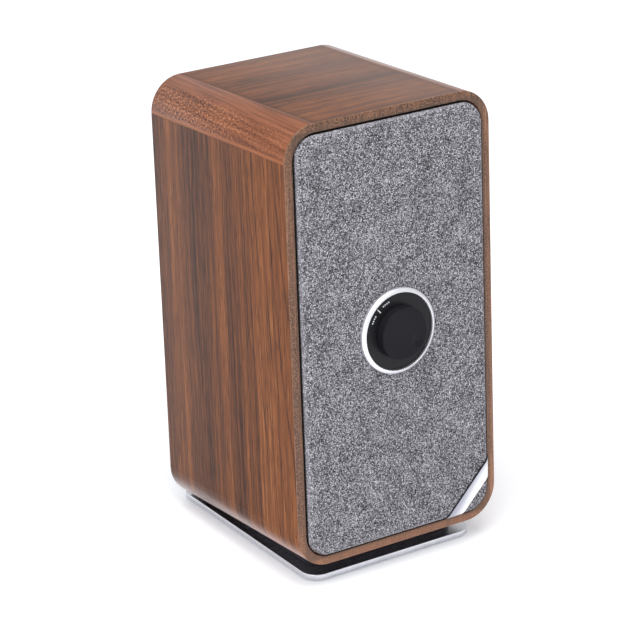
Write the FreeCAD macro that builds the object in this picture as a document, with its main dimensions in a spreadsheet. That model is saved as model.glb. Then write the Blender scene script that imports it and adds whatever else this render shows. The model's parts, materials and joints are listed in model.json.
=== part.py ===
import FreeCAD, Part

import math
import operator
import os

import Sketcher

# An upright powered speaker with one rotary control, as an assembly of separate pieces.
# World frame: +X to the listener's right, -Y towards the listener, +Z up, origin on the table under
# the middle of the stand. The cabinet leans back on its stand. Its pieces are drawn in a face frame:
# x to the right, y up the cabinet from its bottom face, z out of the front face.

Vector = FreeCAD.Vector

doc = FreeCAD.newDocument("powered_speaker")
sheet = doc.addObject("Spreadsheet::Sheet", "sheet")


class Size:
    """A number together with its spreadsheet formula, so that sums of sizes stay bound to the sheet."""

    def __init__(self, number, text):
        self.number = float(number)
        self.text = text

    def __add__(self, other):
        return joined(self, other, operator.add, "+")

    def __radd__(self, other):
        return joined(other, self, operator.add, "+")

    def __sub__(self, other):
        return joined(self, other, operator.sub, "-")

    def __rsub__(self, other):
        return joined(other, self, operator.sub, "-")

    def __mul__(self, other):
        return joined(self, other, operator.mul, "*")

    def __rmul__(self, other):
        return joined(other, self, operator.mul, "*")

    def __truediv__(self, other):
        return joined(self, other, operator.truediv, "/")

    def __neg__(self):
        return joined(0, self, operator.sub, "-")


def as_size(value):
    if isinstance(value, Size):
        return value
    return Size(value, "(%r)" % float(value))


def joined(first, second, action, sign):
    first, second = as_size(first), as_size(second)
    return Size(action(first.number, second.number), "(%s %s %s)" % (first.text, sign, second.text))


def cell(alias, number):
    """Write one driving dimension into the sheet and hand it back as a Size."""
    row = 1
    while sheet.getContents("A%d" % row):
        row += 1
    sheet.set("A%d" % row, alias)
    sheet.set("B%d" % row, str(number))
    sheet.setAlias("B%d" % row, alias)
    return Size(number, "sheet." + alias)


# ---- driving dimensions, mm and degrees ----
cabinet_height = cell("cabinet_height", 310)
cabinet_width = cell("cabinet_width", 165)
cabinet_depth = cell("cabinet_depth", 165)
corner_radius = cell("corner_radius", 24)
wall = cell("wall", 12)
lean = cell("lean", 3.6)
veneer = cell("veneer", 0.8)
glue_gap = cell("glue_gap", 0.15)
slip_gap = cell("slip_gap", 0.1)
clearance = cell("clearance", 1)
screw_inset = cell("screw_inset", 5)
insert_wall = cell("insert_wall", 1.6)
insert_skin = cell("insert_skin", 2)

lip_width = cell("lip_width", 6.2)
grille_gap = cell("grille_gap", 1.3)
grille_pocket = cell("grille_pocket", 8.5)
grille_back = cell("grille_back", 6.5)
grille_proud = cell("grille_proud", 3)
grille_roll = cell("grille_roll", 3)
cloth = cell("cloth", 0.6)
cloth_skirt = cell("cloth_skirt", 4)
baffle = cell("baffle", 12)
peg_radius = cell("peg_radius", 2.5)
cup_wall = cell("cup_wall", 1.5)
cup_rim = cell("cup_rim", 0.8)
peg_edge = cell("peg_edge", 18)
peg_rise = cell("peg_rise", 4)
flange_relief = cell("flange_relief", 3.5)
peg_length = cell("peg_length", 8)
strip_inner = cell("strip_inner", 52.7)
strip_outer = cell("strip_outer", 38.7)
strip_thickness = cell("strip_thickness", 0.9)
strip_end = cell("strip_end", 0.3)

rear_inset = cell("rear_inset", 3)
rear_panel_thickness = cell("rear_panel_thickness", 8)

dial_rise = cell("dial_rise", 1)
ring_radius = cell("ring_radius", 30)
ring_width = cell("ring_width", 2.9)
ring_inner_height = cell("ring_inner_height", 4.3)
ring_outer_height = cell("ring_outer_height", 2.4)
ring_edge = cell("ring_edge", 0.5)
ring_overlap = cell("ring_overlap", 0.3)
floor_rise = cell("floor_rise", 0.9)
fascia_thickness = cell("fascia_thickness", 1.6)
floor_thickness = cell("floor_thickness", 1.7)
housing_wall = cell("housing_wall", 2)
housing_depth = cell("housing_depth", 24)
flange_width = cell("flange_width", 8.6)
flange_thickness = cell("flange_thickness", 1.6)
housing_gap = cell("housing_gap", 0.6)
housing_screw_inset = cell("housing_screw_inset", 3.2)
knob_radius = cell("knob_radius", 18.6)
knob_height = cell("knob_height", 6.6)
knob_gap = cell("knob_gap", 1.2)
knob_bore = cell("knob_bore", 4.8)
knob_draft = cell("knob_draft", 0.3)
dimple_radius = cell("dimple_radius", 5)
dimple_depth = cell("dimple_depth", 1.2)
dimple_reach = cell("dimple_reach", 12.2)
shaft_radius = cell("shaft_radius", 3)
running_gap = cell("running_gap", 0.05)
moving_gap = cell("moving_gap", 0.3)
press_gap = cell("press_gap", 1.9)
encoder_wall = cell("encoder_wall", 1)
rotor_wall = cell("rotor_wall", 2)
rotor_length = cell("rotor_length", 3.6)
spring_radius = cell("spring_radius", 2.6)
spring_wall = cell("spring_wall", 0.8)
board_thickness = cell("board_thickness", 1.6)
board_screw_length = cell("board_screw_length", 7)

driver_gap = cell("driver_gap", 2)
driver_flange_radius = cell("driver_flange_radius", 43)
flange_rim = cell("flange_rim", 5.2)
flange_screw_inset = cell("flange_screw_inset", 2.5)
screw_skin = cell("screw_skin", 2)
cone_radius = cell("cone_radius", 30)
coil_radius = cell("coil_radius", 10)
basket_depth = cell("basket_depth", 30)
magnet_radius = cell("magnet_radius", 27)
magnet_height = cell("magnet_height", 14)
back_plate = cell("back_plate", 3.5)
coil_hang = cell("coil_hang", 7.5)
coil_gap = cell("coil_gap", 0.7)
neck_rise = cell("neck_rise", 10.5)
cone_skirt = cell("cone_skirt", 1.6)
glue_width = cell("glue_width", 1)
ledge_rise = cell("ledge_rise", 5)
spider_width = cell("spider_width", 12.4)
spider_glue = cell("spider_glue", 2.8)
basket_wall = cell("basket_wall", 1.8)
roll_width = cell("roll_width", 5.2)
rim_glue = cell("rim_glue", 2.4)
rubber_wall = cell("rubber_wall", 0.4)
sheet_metal = cell("sheet_metal", 2)
paper = cell("paper", 0.6)
screw_radius = cell("screw_radius", 1.5)

port_rise = cell("port_rise", 70)
port_radius = cell("port_radius", 15)
port_length = cell("port_length", 60)
port_flare = cell("port_flare", 5.5)
port_wall = cell("port_wall", 2)
port_collar = cell("port_collar", 7)
port_flange = cell("port_flange", 4)
port_taper = cell("port_taper", 5)
plate_drop = cell("plate_drop", 75)
connector_width = cell("connector_width", 92)
connector_height = cell("connector_height", 50)
connector_thickness = cell("connector_thickness", 2)
plate_corner = cell("plate_corner", 3)
plate_lap = cell("plate_lap", 7.5)
plate_screw_inset = cell("plate_screw_inset", 4)
plate_screw_length = cell("plate_screw_length", 9)
socket_pitch = cell("socket_pitch", 20)
socket_wall = cell("socket_wall", 1.2)
shell_gap = cell("shell_gap", 0.2)
shell_half_width = cell("shell_half_width", 4.5)
shell_half_height = cell("shell_half_height", 5.5)
jack_bore = cell("jack_bore", 1.8)
jack_length = cell("jack_length", 14)
inlet_bore = cell("inlet_bore", 2.85)
inlet_pin = cell("inlet_pin", 1)
inlet_depth = cell("inlet_depth", 9.5)
pin_setback = cell("pin_setback", 1.5)
service_depth = cell("service_depth", 6.5)
button_radius = cell("button_radius", 3)
button_travel = cell("button_travel", 0.6)
button_gap = cell("button_gap", 0.4)
button_flange = cell("button_flange", 1.2)
switch_half = cell("switch_half", 3)
standoff = cell("standoff", 8)
main_width = cell("main_width", 116)
main_height = cell("main_height", 112)
main_rise = cell("main_rise", 6)
main_screw_inset = cell("main_screw_inset", 6)
standoff_radius = cell("standoff_radius", 3.2)

base_width = cell("base_width", 138)
base_depth = cell("base_depth", 170)
base_radius = cell("base_radius", 12)
base_thickness = cell("base_thickness", 4)
base_setback = cell("base_setback", 6.5)
pad_thickness = cell("pad_thickness", 1.2)
pad_inset = cell("pad_inset", 4)
riser_front = cell("riser_front", 10.8)
riser_inset = cell("riser_inset", 8)
riser_setback = cell("riser_setback", 11)
riser_tail = cell("riser_tail", 20)
bolt_radius = cell("bolt_radius", 2.5)
bolt_head_width = cell("bolt_head_width", 2)
bolt_reach = cell("bolt_reach", 8)
stand_screw_inset = cell("stand_screw_inset", 22)
plate_screw_reach = cell("plate_screw_reach", 4)
countersink = cell("countersink", 2)
doc.recompute()

# ---- places that several pieces share ----
lean_sine = Size(math.sin(math.radians(lean.number)), "sin(%s * 1 deg)" % lean.text)
lean_cosine = Size(math.cos(math.radians(lean.number)), "cos(%s * 1 deg)" % lean.text)
half_width = cabinet_width / 2
post_x = half_width - corner_radius
post_top = cabinet_height - corner_radius
baffle_front = -grille_pocket
baffle_back = baffle_front - baffle
rear_face = rear_inset - cabinet_depth
rear_inside = rear_face + rear_panel_thickness
plate_face = rear_face - connector_thickness
dial_up = cabinet_height / 2 + dial_rise
ring_inside = ring_radius - ring_width
housing_radius = ring_inside + ring_overlap
driver_spread = driver_flange_radius + housing_radius + flange_width + dial_rise + driver_gap
upper_driver_up = cabinet_height / 2 + driver_spread
lower_driver_up = cabinet_height / 2 - driver_spread
port_up = cabinet_height / 2 + port_rise
plate_up = cabinet_height / 2 - plate_drop
base_top = pad_thickness + base_thickness
front_edge_y = -(base_depth / 2) - base_setback
front_edge_z = base_top + riser_front

pieces = []


def bind(thing, prop, size):
    size = as_size(size)
    thing.setExpression(prop, size.text)


def piece(thing, name):
    """Name a finished sub-part; its name is also its file's name."""
    thing.Label = name
    pieces.append(thing)
    return thing


def seat(thing, across=0, up=0, out=0):
    """Place a piece drawn in the face frame, with its own origin at a point of that frame."""
    thing.Placement = FreeCAD.Placement(Vector(), FreeCAD.Rotation(Vector(1, 0, 0), 90))
    thing.setExpression("Placement.Rotation.Angle", "90 deg - %s * 1 deg" % lean.text)
    bind(thing, "Placement.Base.x", across)
    bind(thing, "Placement.Base.y", front_edge_y + up * lean_sine - out * lean_cosine)
    bind(thing, "Placement.Base.z", front_edge_z + up * lean_cosine + out * lean_sine)
    return thing


def shift(thing, x=0, y=0, z=0):
    bind(thing, "Placement.Base.x", x)
    bind(thing, "Placement.Base.y", y)
    bind(thing, "Placement.Base.z", z)
    return thing


def drive(sketch, constraint, size):
    index = sketch.addConstraint(constraint)
    sketch.setExpression("Constraints[%d]" % index, as_size(size).text)


def sketch_on(body, plane, lift=0):
    origin_plane = [item for item in body.Origin.OriginFeatures if item.Role == plane][0]
    sketch = body.newObject("Sketcher::SketchObject", "sketch")
    sketch.AttachmentSupport = [(origin_plane, "")]
    sketch.MapMode = "FlatFace"
    bind(sketch, "AttachmentOffset.Base.z", lift)
    return sketch


def circle(sketch, radius, across=0, up=0):
    radius, across, up = as_size(radius), as_size(across), as_size(up)
    centre = Vector(across.number, up.number, 0)
    edge = sketch.addGeometry(Part.Circle(centre, Vector(0, 0, 1), radius.number), False)
    drive(sketch, Sketcher.Constraint("Radius", edge, radius.number), radius)
    drive(sketch, Sketcher.Constraint("DistanceX", -1, 1, edge, 3, across.number), across)
    drive(sketch, Sketcher.Constraint("DistanceY", -1, 1, edge, 3, up.number), up)


def outline(sketch, stops):
    """A closed outline of stops (x, y) or (x, y, r): r bends the edge that leaves the stop, left if > 0."""
    first = sketch.GeometryCount
    count = len(stops)
    corners = [Vector(as_size(stop[0]).number, as_size(stop[1]).number, 0) for stop in stops]
    ends = []
    for i, stop in enumerate(stops):
        start, end = corners[i], corners[(i + 1) % count]
        if len(stop) == 2:
            sketch.addGeometry(Part.LineSegment(start, end), False)
            ends.append((1, 2))
            continue
        left = as_size(stop[2]).number > 0
        radius = abs(as_size(stop[2]).number)
        along = end - start
        across = Vector(-along.y, along.x, 0)
        across.normalize()
        side = 1 if left else -1
        rise = math.sqrt(max(radius ** 2 - (along.Length / 2) ** 2, 0))
        middle = start + along / 2 + across * side * (rise - radius)
        sketch.addGeometry(Part.Arc(start, middle, end), False)
        ends.append((1, 2) if left else (2, 1))
    for i, stop in enumerate(stops):
        following = (i + 1) % count
        edge = first + i
        sketch.addConstraint(
            Sketcher.Constraint("Coincident", edge, ends[i][1], first + following, ends[following][0]))
        drive(sketch, Sketcher.Constraint("DistanceX", -1, 1, edge, ends[i][0], corners[i].x), stop[0])
        drive(sketch, Sketcher.Constraint("DistanceY", -1, 1, edge, ends[i][0], corners[i].y), stop[1])
        if len(stop) == 3:
            radius = as_size(stop[2])
            if radius.number < 0:
                radius = -radius
            drive(sketch, Sketcher.Constraint("Radius", edge, radius.number), radius)


def rectangle(sketch, left, right, low, high):
    outline(sketch, [(left, low), (right, low), (right, high), (left, high)])


def rounded_rectangle(sketch, left, right, low, high, radius):
    outline(sketch, [
        (left + radius, low), (right - radius, low, radius),
        (right, low + radius), (right, high - radius, radius),
        (right - radius, high), (left + radius, high, radius),
        (left, high - radius), (left, low + radius, radius)])


def cabinet_outline(sketch, inset):
    """The cabinet's front outline, drawn in by an inset with the same corner centres."""
    rounded_rectangle(sketch, inset - half_width, half_width - inset,
                      as_size(inset), cabinet_height - inset, corner_radius - inset)


def pad(body, sketch, length):
    feature = body.newObject("PartDesign::Pad", "pad")
    feature.Profile = sketch
    bind(feature, "Length", length)
    return feature


def pocket(body, sketch, depth, rising=False):
    """Cut down from the sketch, or up from it when rising, and make sure that it cuts."""
    doc.recompute()
    before = body.Shape.Volume
    feature = body.newObject("PartDesign::Pocket", "pocket")
    feature.Profile = sketch
    feature.Reversed = rising
    bind(feature, "Length", depth)
    doc.recompute()
    if feature.Shape.Volume >= before:
        raise RuntimeError("a pocket in %s cuts nothing" % body.Label)
    return feature


def turned(name, stops):
    """A revolved piece, drawn as stops of radius and height about its own z axis."""
    body = doc.addObject("PartDesign::Body", name)
    sketch = sketch_on(body, "XZ_Plane")
    outline(sketch, stops)
    feature = body.newObject("PartDesign::Revolution", "revolution")
    feature.Profile = sketch
    feature.ReferenceAxis = (sketch, ["V_Axis"])
    feature.Angle = 360
    return body


def slab(name, low, high, draw, *details):
    """A flat piece in the face frame: draw(sketch, *details) gives its outline, low to high its depth."""
    body = doc.addObject("PartDesign::Body", name)
    sketch = sketch_on(body, "XY_Plane", low)
    draw(sketch, *details)
    pad(body, sketch, high - low)
    return body


def soften(body, radius, level):
    """Round the outer edges of a body that lie at one level."""
    doc.recompute()
    base = body.Tip
    rim = ["Edge%d" % (i + 1) for i, edge in enumerate(base.Shape.Edges)
           if abs(edge.BoundBox.ZMin - level.number) < 1e-4 and abs(edge.BoundBox.ZMax - level.number) < 1e-4]
    feature = body.newObject("PartDesign::Fillet", "fillet")
    feature.Base = (base, rim)
    bind(feature, "Radius", radius)


def bores(body, places, radius, level, depth, rising=False):
    sketch = sketch_on(body, "XY_Plane", level)
    for across, up in places:
        circle(sketch, radius, across, up)
    pocket(body, sketch, depth, rising)


def cylinder(radius, low, high, across=0, up=0):
    rod = doc.addObject("Part::Cylinder", "rod")
    bind(rod, "Radius", radius)
    bind(rod, "Height", as_size(high) - low)
    return shift(rod, across, up, low)


def cone(low_radius, high_radius, low, high, across=0, up=0):
    taper = doc.addObject("Part::Cone", "taper")
    bind(taper, "Radius1", low_radius)
    bind(taper, "Radius2", high_radius)
    bind(taper, "Height", as_size(high) - low)
    return shift(taper, across, up, low)


def block(left, right, low, high, back, front):
    brick = doc.addObject("Part::Box", "brick")
    bind(brick, "Length", as_size(right) - left)
    bind(brick, "Width", as_size(high) - low)
    bind(brick, "Height", as_size(front) - back)
    return shift(brick, left, low, back)


def cut(base, tool):
    result = doc.addObject("Part::Cut", "cut")
    result.Base = base
    result.Tool = tool
    return result


def fuse(*members):
    result = doc.addObject("Part::MultiFuse", "fuse")
    result.Shapes = list(members)
    return result


def group(members):
    result = doc.addObject("Part::Compound", "group")
    result.Links = list(members)
    return result


def screw(radius, under_head, length, across, up):
    """A pan-head screw: its signed length runs from under the head, forwards if it is positive."""
    head = radius * 1.7
    end = under_head + length
    if length.number > 0:
        return fuse(cylinder(radius, under_head, end, across, up),
                    cylinder(head, under_head - radius, under_head, across, up))
    return fuse(cylinder(radius, end, under_head, across, up),
                cylinder(head, under_head, under_head + radius, across, up))


def four_corners(across, up, middle):
    """Four places: to each side, above and below a middle level."""
    return [(side * across, middle + away * up) for side in (-1, 1) for away in (-1, 1)]


def diagonals(radius, middle):
    """Four places on a circle about a level of the centre line, one in each diagonal direction."""
    step = radius / math.sqrt(2)
    return four_corners(step, step, middle)


# ---- cabinet: four veneered boards between four solid corner posts ----
corner_screws = [(side * (post_x + screw_inset), level + away * screw_inset)
                 for side in (-1, 1) for level, away in ((corner_radius, -1), (post_top, 1))]
ledge_x = (half_width - wall + half_width - lip_width) / 2
side_screws = [(side * ledge_x, cabinet_height / 2) for side in (-1, 1)]
rear_screw_reach = cell("rear_screw_reach", 20)
pilot_depth = rear_screw_reach - rear_panel_thickness + clearance


def board(name, left, right, low, high, front_rebate, rear_rebate):
    body = slab(name, -cabinet_depth, -veneer, rectangle, left, right, low, high)
    sketch = sketch_on(body, "XY_Plane", -veneer)
    rectangle(sketch, *front_rebate)
    pocket(body, sketch, -baffle_back - veneer)
    sketch = sketch_on(body, "XY_Plane", -cabinet_depth)
    rectangle(sketch, *rear_rebate)
    pocket(body, sketch, rear_inside + cabinet_depth, rising=True)
    return body


for name, side in (("cabinet_left_panel", -1), ("cabinet_right_panel", 1)):
    outer = side * half_width
    inner = side * (half_width - wall)
    rebate = side * (half_width - lip_width)
    left, right = (outer, inner) if side < 0 else (inner, outer)
    cut_left, cut_right = (rebate, inner) if side < 0 else (inner, rebate)
    step = (cut_left, cut_right, corner_radius, post_top)
    side_board = board(name, left, right, corner_radius, post_top, step, step)
    bores(side_board, [(side * ledge_x, cabinet_height / 2)], screw_radius, rear_inside, pilot_depth,
          rising=True)
    piece(seat(side_board), name)

low_board = (-post_x, post_x, lip_width, wall)
high_board = (-post_x, post_x, cabinet_height - wall, cabinet_height - lip_width)
top_board = board("cabinet_top_panel", -post_x, post_x, cabinet_height - wall, cabinet_height,
                  high_board, high_board)
piece(seat(top_board), "cabinet_top_panel")
bottom_board = board("bottom_board", -post_x, post_x, as_size(0), wall, low_board, low_board)

# The stand's inserts are pressed up into the bottom board, square to it.
insert_radius = bolt_radius + insert_wall
insert_top = wall - insert_skin
insert_depths = (cell("front_bolt_depth", 32), cell("rear_bolt_depth", 84))
bolt_spread = cell("bolt_spread", 38)
insert_places = [(side * bolt_spread, depth) for side in (-1, 1) for depth in insert_depths]


def upright(radius, low, high, across, depth):
    """A cylinder square to the cabinet's bottom face, at a depth behind the front."""
    rod = cylinder(radius, low, high)
    rod.Placement = FreeCAD.Placement(Vector(), FreeCAD.Rotation(Vector(1, 0, 0), -90))
    return shift(rod, across, low, -depth)


insert_holes = fuse(*[upright(insert_radius, as_size(0), insert_top, across, depth)
                      for across, depth in insert_places])
piece(seat(cut(bottom_board, insert_holes)), "cabinet_bottom_panel")
piece(seat(group([cut(upright(insert_radius, as_size(0), insert_top, across, depth),
                      upright(bolt_radius, as_size(0), insert_top, across, depth))
                  for across, depth in insert_places])), "stand_inserts")


def quarter(radius, low, high, turn, across, up):
    """A quarter of a round bar, turned about its centre line in steps of a right angle."""
    rod = doc.addObject("Part::Cylinder", "quarter")
    rod.Angle = 90
    bind(rod, "Radius", radius)
    bind(rod, "Height", high - low)
    rod.Placement = FreeCAD.Placement(Vector(), FreeCAD.Rotation(Vector(0, 0, 1), 90 * turn))
    return shift(rod, across, up, low)


posts = []
for side, level, turn in ((1, post_top, 0), (-1, post_top, 1), (-1, corner_radius, 2), (1, corner_radius, 3)):
    centre = side * post_x
    rebate_radius = corner_radius - lip_width
    bar = quarter(corner_radius, -cabinet_depth, -veneer, turn, centre, level)
    front_step = quarter(rebate_radius, baffle_back, -veneer, turn, centre, level)
    rear_step = quarter(rebate_radius, -cabinet_depth, rear_inside, turn, centre, level)
    away = 1 if level is post_top else -1
    pilot = cylinder(screw_radius, rear_inside, rear_inside + pilot_depth,
                     side * (post_x + screw_inset), level + away * screw_inset)
    posts.append(cut(bar, fuse(front_step, rear_step, pilot)))
piece(seat(group(posts)), "corner_posts")


def lip_outline(sketch):
    cabinet_outline(sketch, 0)
    cabinet_outline(sketch, lip_width)


piece(seat(slab("front_veneer", -veneer, as_size(0), lip_outline)), "front_veneer_frame")

# ---- front baffle, dropped in from the front against the ledge ----
cup_radius = peg_radius + cup_wall
peg_levels = (corner_radius + peg_rise, cabinet_height / 2, post_top - peg_rise)
peg_places = [(side * (half_width - peg_edge), level) for side in (-1, 1) for level in peg_levels]
cutout_radius = driver_flange_radius - flange_rim
screw_circle = driver_flange_radius - flange_screw_inset
driver_screw_places = diagonals(screw_circle, upper_driver_up) + diagonals(screw_circle, lower_driver_up)
driver_screw_length = cell("driver_screw_length", 12)
housing_screw_length = cell("housing_screw_length", 8)
housing_screw_circle = housing_radius + flange_width - housing_screw_inset
housing_screw_places = diagonals(housing_screw_circle, dial_up)

front_baffle = slab("front_baffle", baffle_back, baffle_front, cabinet_outline, lip_width + glue_gap)
bores(front_baffle, [(0, upper_driver_up), (0, lower_driver_up)], cutout_radius, baffle_front, baffle)
bores(front_baffle, [(0, dial_up)], housing_radius + housing_gap, baffle_front, baffle)
bores(front_baffle, peg_places, cup_radius, baffle_front, peg_length + clearance)
bores(front_baffle, driver_screw_places + housing_screw_places, screw_radius, baffle_front, baffle - screw_skin)
piece(seat(front_baffle), "front_baffle")

# ---- grille: a board with sound openings, wrapped in woven cloth, plugged in on six pegs ----
cloth_inset = lip_width + grille_gap
frame_inset = cloth_inset + cloth
frame_front = grille_proud - cloth
opening_radius = driver_flange_radius + clearance
dial_opening = housing_radius + housing_gap
flange_opening = housing_radius + flange_width + clearance

grille_frame = slab("grille_frame", -grille_back, frame_front, cabinet_outline, frame_inset)
soften(grille_frame, grille_roll - cloth, frame_front)
bores(grille_frame, [(0, upper_driver_up), (0, lower_driver_up)], opening_radius,
      frame_front, frame_front + grille_back)
bores(grille_frame, [(0, dial_up)], dial_opening, frame_front, frame_front + grille_back)
bores(grille_frame, [(0, dial_up)], flange_opening, -grille_back, flange_relief, rising=True)
piece(seat(grille_frame), "grille_frame")


def rolled_block(inset, front, roll):
    body = slab("wrap", -cloth_skirt, front, cabinet_outline, inset)
    soften(body, roll, front)
    return body


wrap = rolled_block(cloth_inset, grille_proud, grille_roll)
core = rolled_block(frame_inset, frame_front, grille_roll - cloth)
cloth_hole = cylinder(dial_opening, -cloth_skirt, grille_proud, 0, dial_up)
piece(seat(cut(wrap, fuse(core, cloth_hole))), "grille_cloth")

pegs = [cylinder(peg_radius, -grille_back - peg_length, -grille_back, across, up) for across, up in peg_places]
piece(seat(group(pegs)), "grille_pegs")
cups = [cut(fuse(cylinder(cup_radius, baffle_front - peg_length, baffle_front, across, up),
                 cylinder(cup_radius + cup_wall, baffle_front, baffle_front + cup_rim, across, up)),
            cylinder(peg_radius, baffle_front - peg_length, baffle_front + cup_rim, across, up))
        for across, up in peg_places]
piece(seat(group(cups)), "grille_cups")

# ---- plain metal strip, bent over the grille's lower right corner ----
strip_outside = rolled_block(cloth_inset - strip_thickness, grille_proud + strip_thickness,
                             grille_roll + strip_thickness)
strip_inside = rolled_block(cloth_inset, grille_proud, grille_roll)


def strip_band(sketch):
    outline(sketch, [(half_width - strip_inner, as_size(0)), (half_width - strip_outer, as_size(0)),
                     (half_width, strip_outer), (half_width, strip_inner)])


strip_length = slab("strip_band", strip_end, grille_proud + grille_roll, strip_band)
strip = doc.addObject("Part::Common", "strip")
strip.Base = cut(strip_outside, strip_inside)
strip.Tool = strip_length
piece(seat(strip), "corner_trim_strip")

# ---- dial: housing on the baffle, metal ring, black fascia, knob on a push encoder ----
floor_top = grille_proud + floor_rise
floor_bottom = floor_top - floor_thickness
bushing_radius = cell("bushing_radius", 4.5)
bushing_hole = bushing_radius + clearance
board_radius = housing_radius - housing_wall - clearance
board_front = floor_bottom - cell("boss_height", 18.6)
boss_circle = cell("boss_circle", 18)
boss_radius = cell("boss_radius", 3)
boss_places = [(boss_circle * round(math.cos(angle), 6), boss_circle * round(math.sin(angle), 6))
               for angle in (math.radians(90 + 120 * i) for i in range(3))]
small_screw = cell("small_screw", 1.1)

dial_housing = turned("dial_housing", [
    (bushing_hole, floor_bottom), (housing_radius - housing_wall, floor_bottom),
    (housing_radius - housing_wall, -housing_depth), (housing_radius, -housing_depth),
    (housing_radius, baffle_front), (housing_radius + flange_width, baffle_front),
    (housing_radius + flange_width, baffle_front + flange_thickness),
    (housing_radius, baffle_front + flange_thickness), (housing_radius, floor_top),
    (bushing_hole, floor_top)])
sketch = sketch_on(dial_housing, "XY_Plane", board_front)
for across, up in boss_places:
    circle(sketch, boss_radius, across, up)
pad(dial_housing, sketch, floor_bottom - board_front)
bores(dial_housing, boss_places, small_screw, board_front, board_screw_length, rising=True)
bores(dial_housing, diagonals(housing_screw_circle, 0), screw_radius, baffle_front, flange_thickness,
      rising=True)
piece(seat(dial_housing, 0, dial_up), "dial_housing")

dial_ring = turned("dial_ring", [
    (housing_radius + running_gap, grille_proud + slip_gap), (ring_radius, grille_proud + slip_gap),
    (ring_radius, grille_proud + ring_outer_height),
    (ring_radius - ring_edge, grille_proud + ring_outer_height + ring_edge),
    (ring_inside + ring_edge, grille_proud + ring_inner_height),
    (ring_inside, grille_proud + ring_inner_height - ring_edge),
    (ring_inside, floor_top + slip_gap), (housing_radius + running_gap, floor_top + slip_gap)])
piece(seat(dial_ring, 0, dial_up), "dial_ring")

fascia_front = floor_top + fascia_thickness
fascia = turned("dial_fascia", [
    (bushing_hole, floor_top), (ring_inside - slip_gap, floor_top), (ring_inside - slip_gap, fascia_front),
    (bushing_hole, fascia_front)])
piece(seat(fascia, 0, dial_up), "dial_fascia")

knob_low = fascia_front + knob_gap
knob_top = knob_low + knob_height
shaft_top = knob_low + knob_bore
knob_edge = cell("knob_edge", 0.8)
knob_shoulder = knob_radius - knob_draft
knob_blank = turned("knob_blank", [
    (shaft_radius, knob_low), (knob_radius, knob_low), (knob_shoulder, knob_top - knob_edge, knob_edge),
    (knob_shoulder - knob_edge, knob_top), (as_size(0), knob_top), (as_size(0), shaft_top),
    (shaft_radius, shaft_top)])
dimple_sphere = doc.addObject("Part::Sphere", "dimple")
sphere_radius = (dimple_radius * dimple_radius + dimple_depth * dimple_depth) / (2 * dimple_depth)
bind(dimple_sphere, "Radius", sphere_radius)
dimple_angle = math.radians(-33)
shift(dimple_sphere, dimple_reach * round(math.cos(dimple_angle), 6),
      dimple_reach * round(math.sin(dimple_angle), 6), knob_top + sphere_radius - dimple_depth)
piece(seat(cut(knob_blank, dimple_sphere), 0, dial_up), "volume_knob")

encoder_floor = board_front + encoder_wall
shaft_low = encoder_floor + press_gap
piece(seat(turned("encoder_shaft", [
    (as_size(0), shaft_low), (shaft_radius, shaft_low), (shaft_radius, shaft_top), (as_size(0), shaft_top)]),
    0, dial_up), "encoder_shaft")

rotor_radius = shaft_radius + rotor_wall
rotor_low = shaft_low + moving_gap
rotor_high = rotor_low + rotor_length
encoder_top = rotor_high + moving_gap + encoder_wall
half_encoder = cell("half_encoder", 7)
encoder_blank = slab("encoder_blank", board_front, encoder_top, rectangle,
                     -half_encoder, half_encoder, -half_encoder, half_encoder)
encoder_shell = fuse(encoder_blank, cylinder(bushing_radius, encoder_top, floor_top))
encoder_room = fuse(cylinder(rotor_radius + moving_gap, encoder_floor, rotor_high + moving_gap),
                    cylinder(shaft_radius + moving_gap, rotor_high, floor_top))
piece(seat(cut(encoder_shell, encoder_room), 0, dial_up), "encoder_body")
piece(seat(turned("encoder_rotor", [
    (shaft_radius + running_gap, rotor_low), (rotor_radius, rotor_low), (rotor_radius, rotor_high),
    (shaft_radius + running_gap, rotor_high)]), 0, dial_up), "encoder_rotor")
piece(seat(turned("press_spring", [
    (spring_radius - spring_wall, encoder_floor), (spring_radius, encoder_floor), (spring_radius, shaft_low),
    (spring_radius - spring_wall, shaft_low)]), 0, dial_up), "press_spring")

control_board = slab("control_board", board_front - board_thickness, board_front, circle, board_radius)
bores(control_board, boss_places, small_screw + slip_gap, board_front, board_thickness)
piece(seat(control_board, 0, dial_up), "control_board")

# ---- two full-range drivers, each with a basket, magnet, coil, spider, cone, dust cap and surround ----
gasket = cell("gasket", 0.8)
flange_back = baffle_front + gasket
flange_front = flange_back + sheet_metal
basket_floor = flange_back - basket_depth
coil_wall = cell("coil_wall", 0.6)
coil_outside = coil_radius + coil_wall
coil_bottom = basket_floor - coil_hang
neck = basket_floor + neck_rise
ledge = basket_floor + ledge_rise
ledge_radius = coil_outside + spider_width
spider_edge = ledge_radius + spider_glue - paper
slope_start = ledge_radius + spider_glue + basket_wall
slope_end = cutout_radius - clearance
rim_radius = cone_radius + roll_width
gap_inside = coil_radius - coil_gap
gap_outside = coil_outside + coil_gap
magnet_low = basket_floor - magnet_height
pole_low = magnet_low + back_plate
half_roll = roll_width / 2
inner_roll = half_roll - paper + slip_gap
roll_inset = paper - rubber_wall
cap_rise = cell("cap_rise", 3.4)

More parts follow.
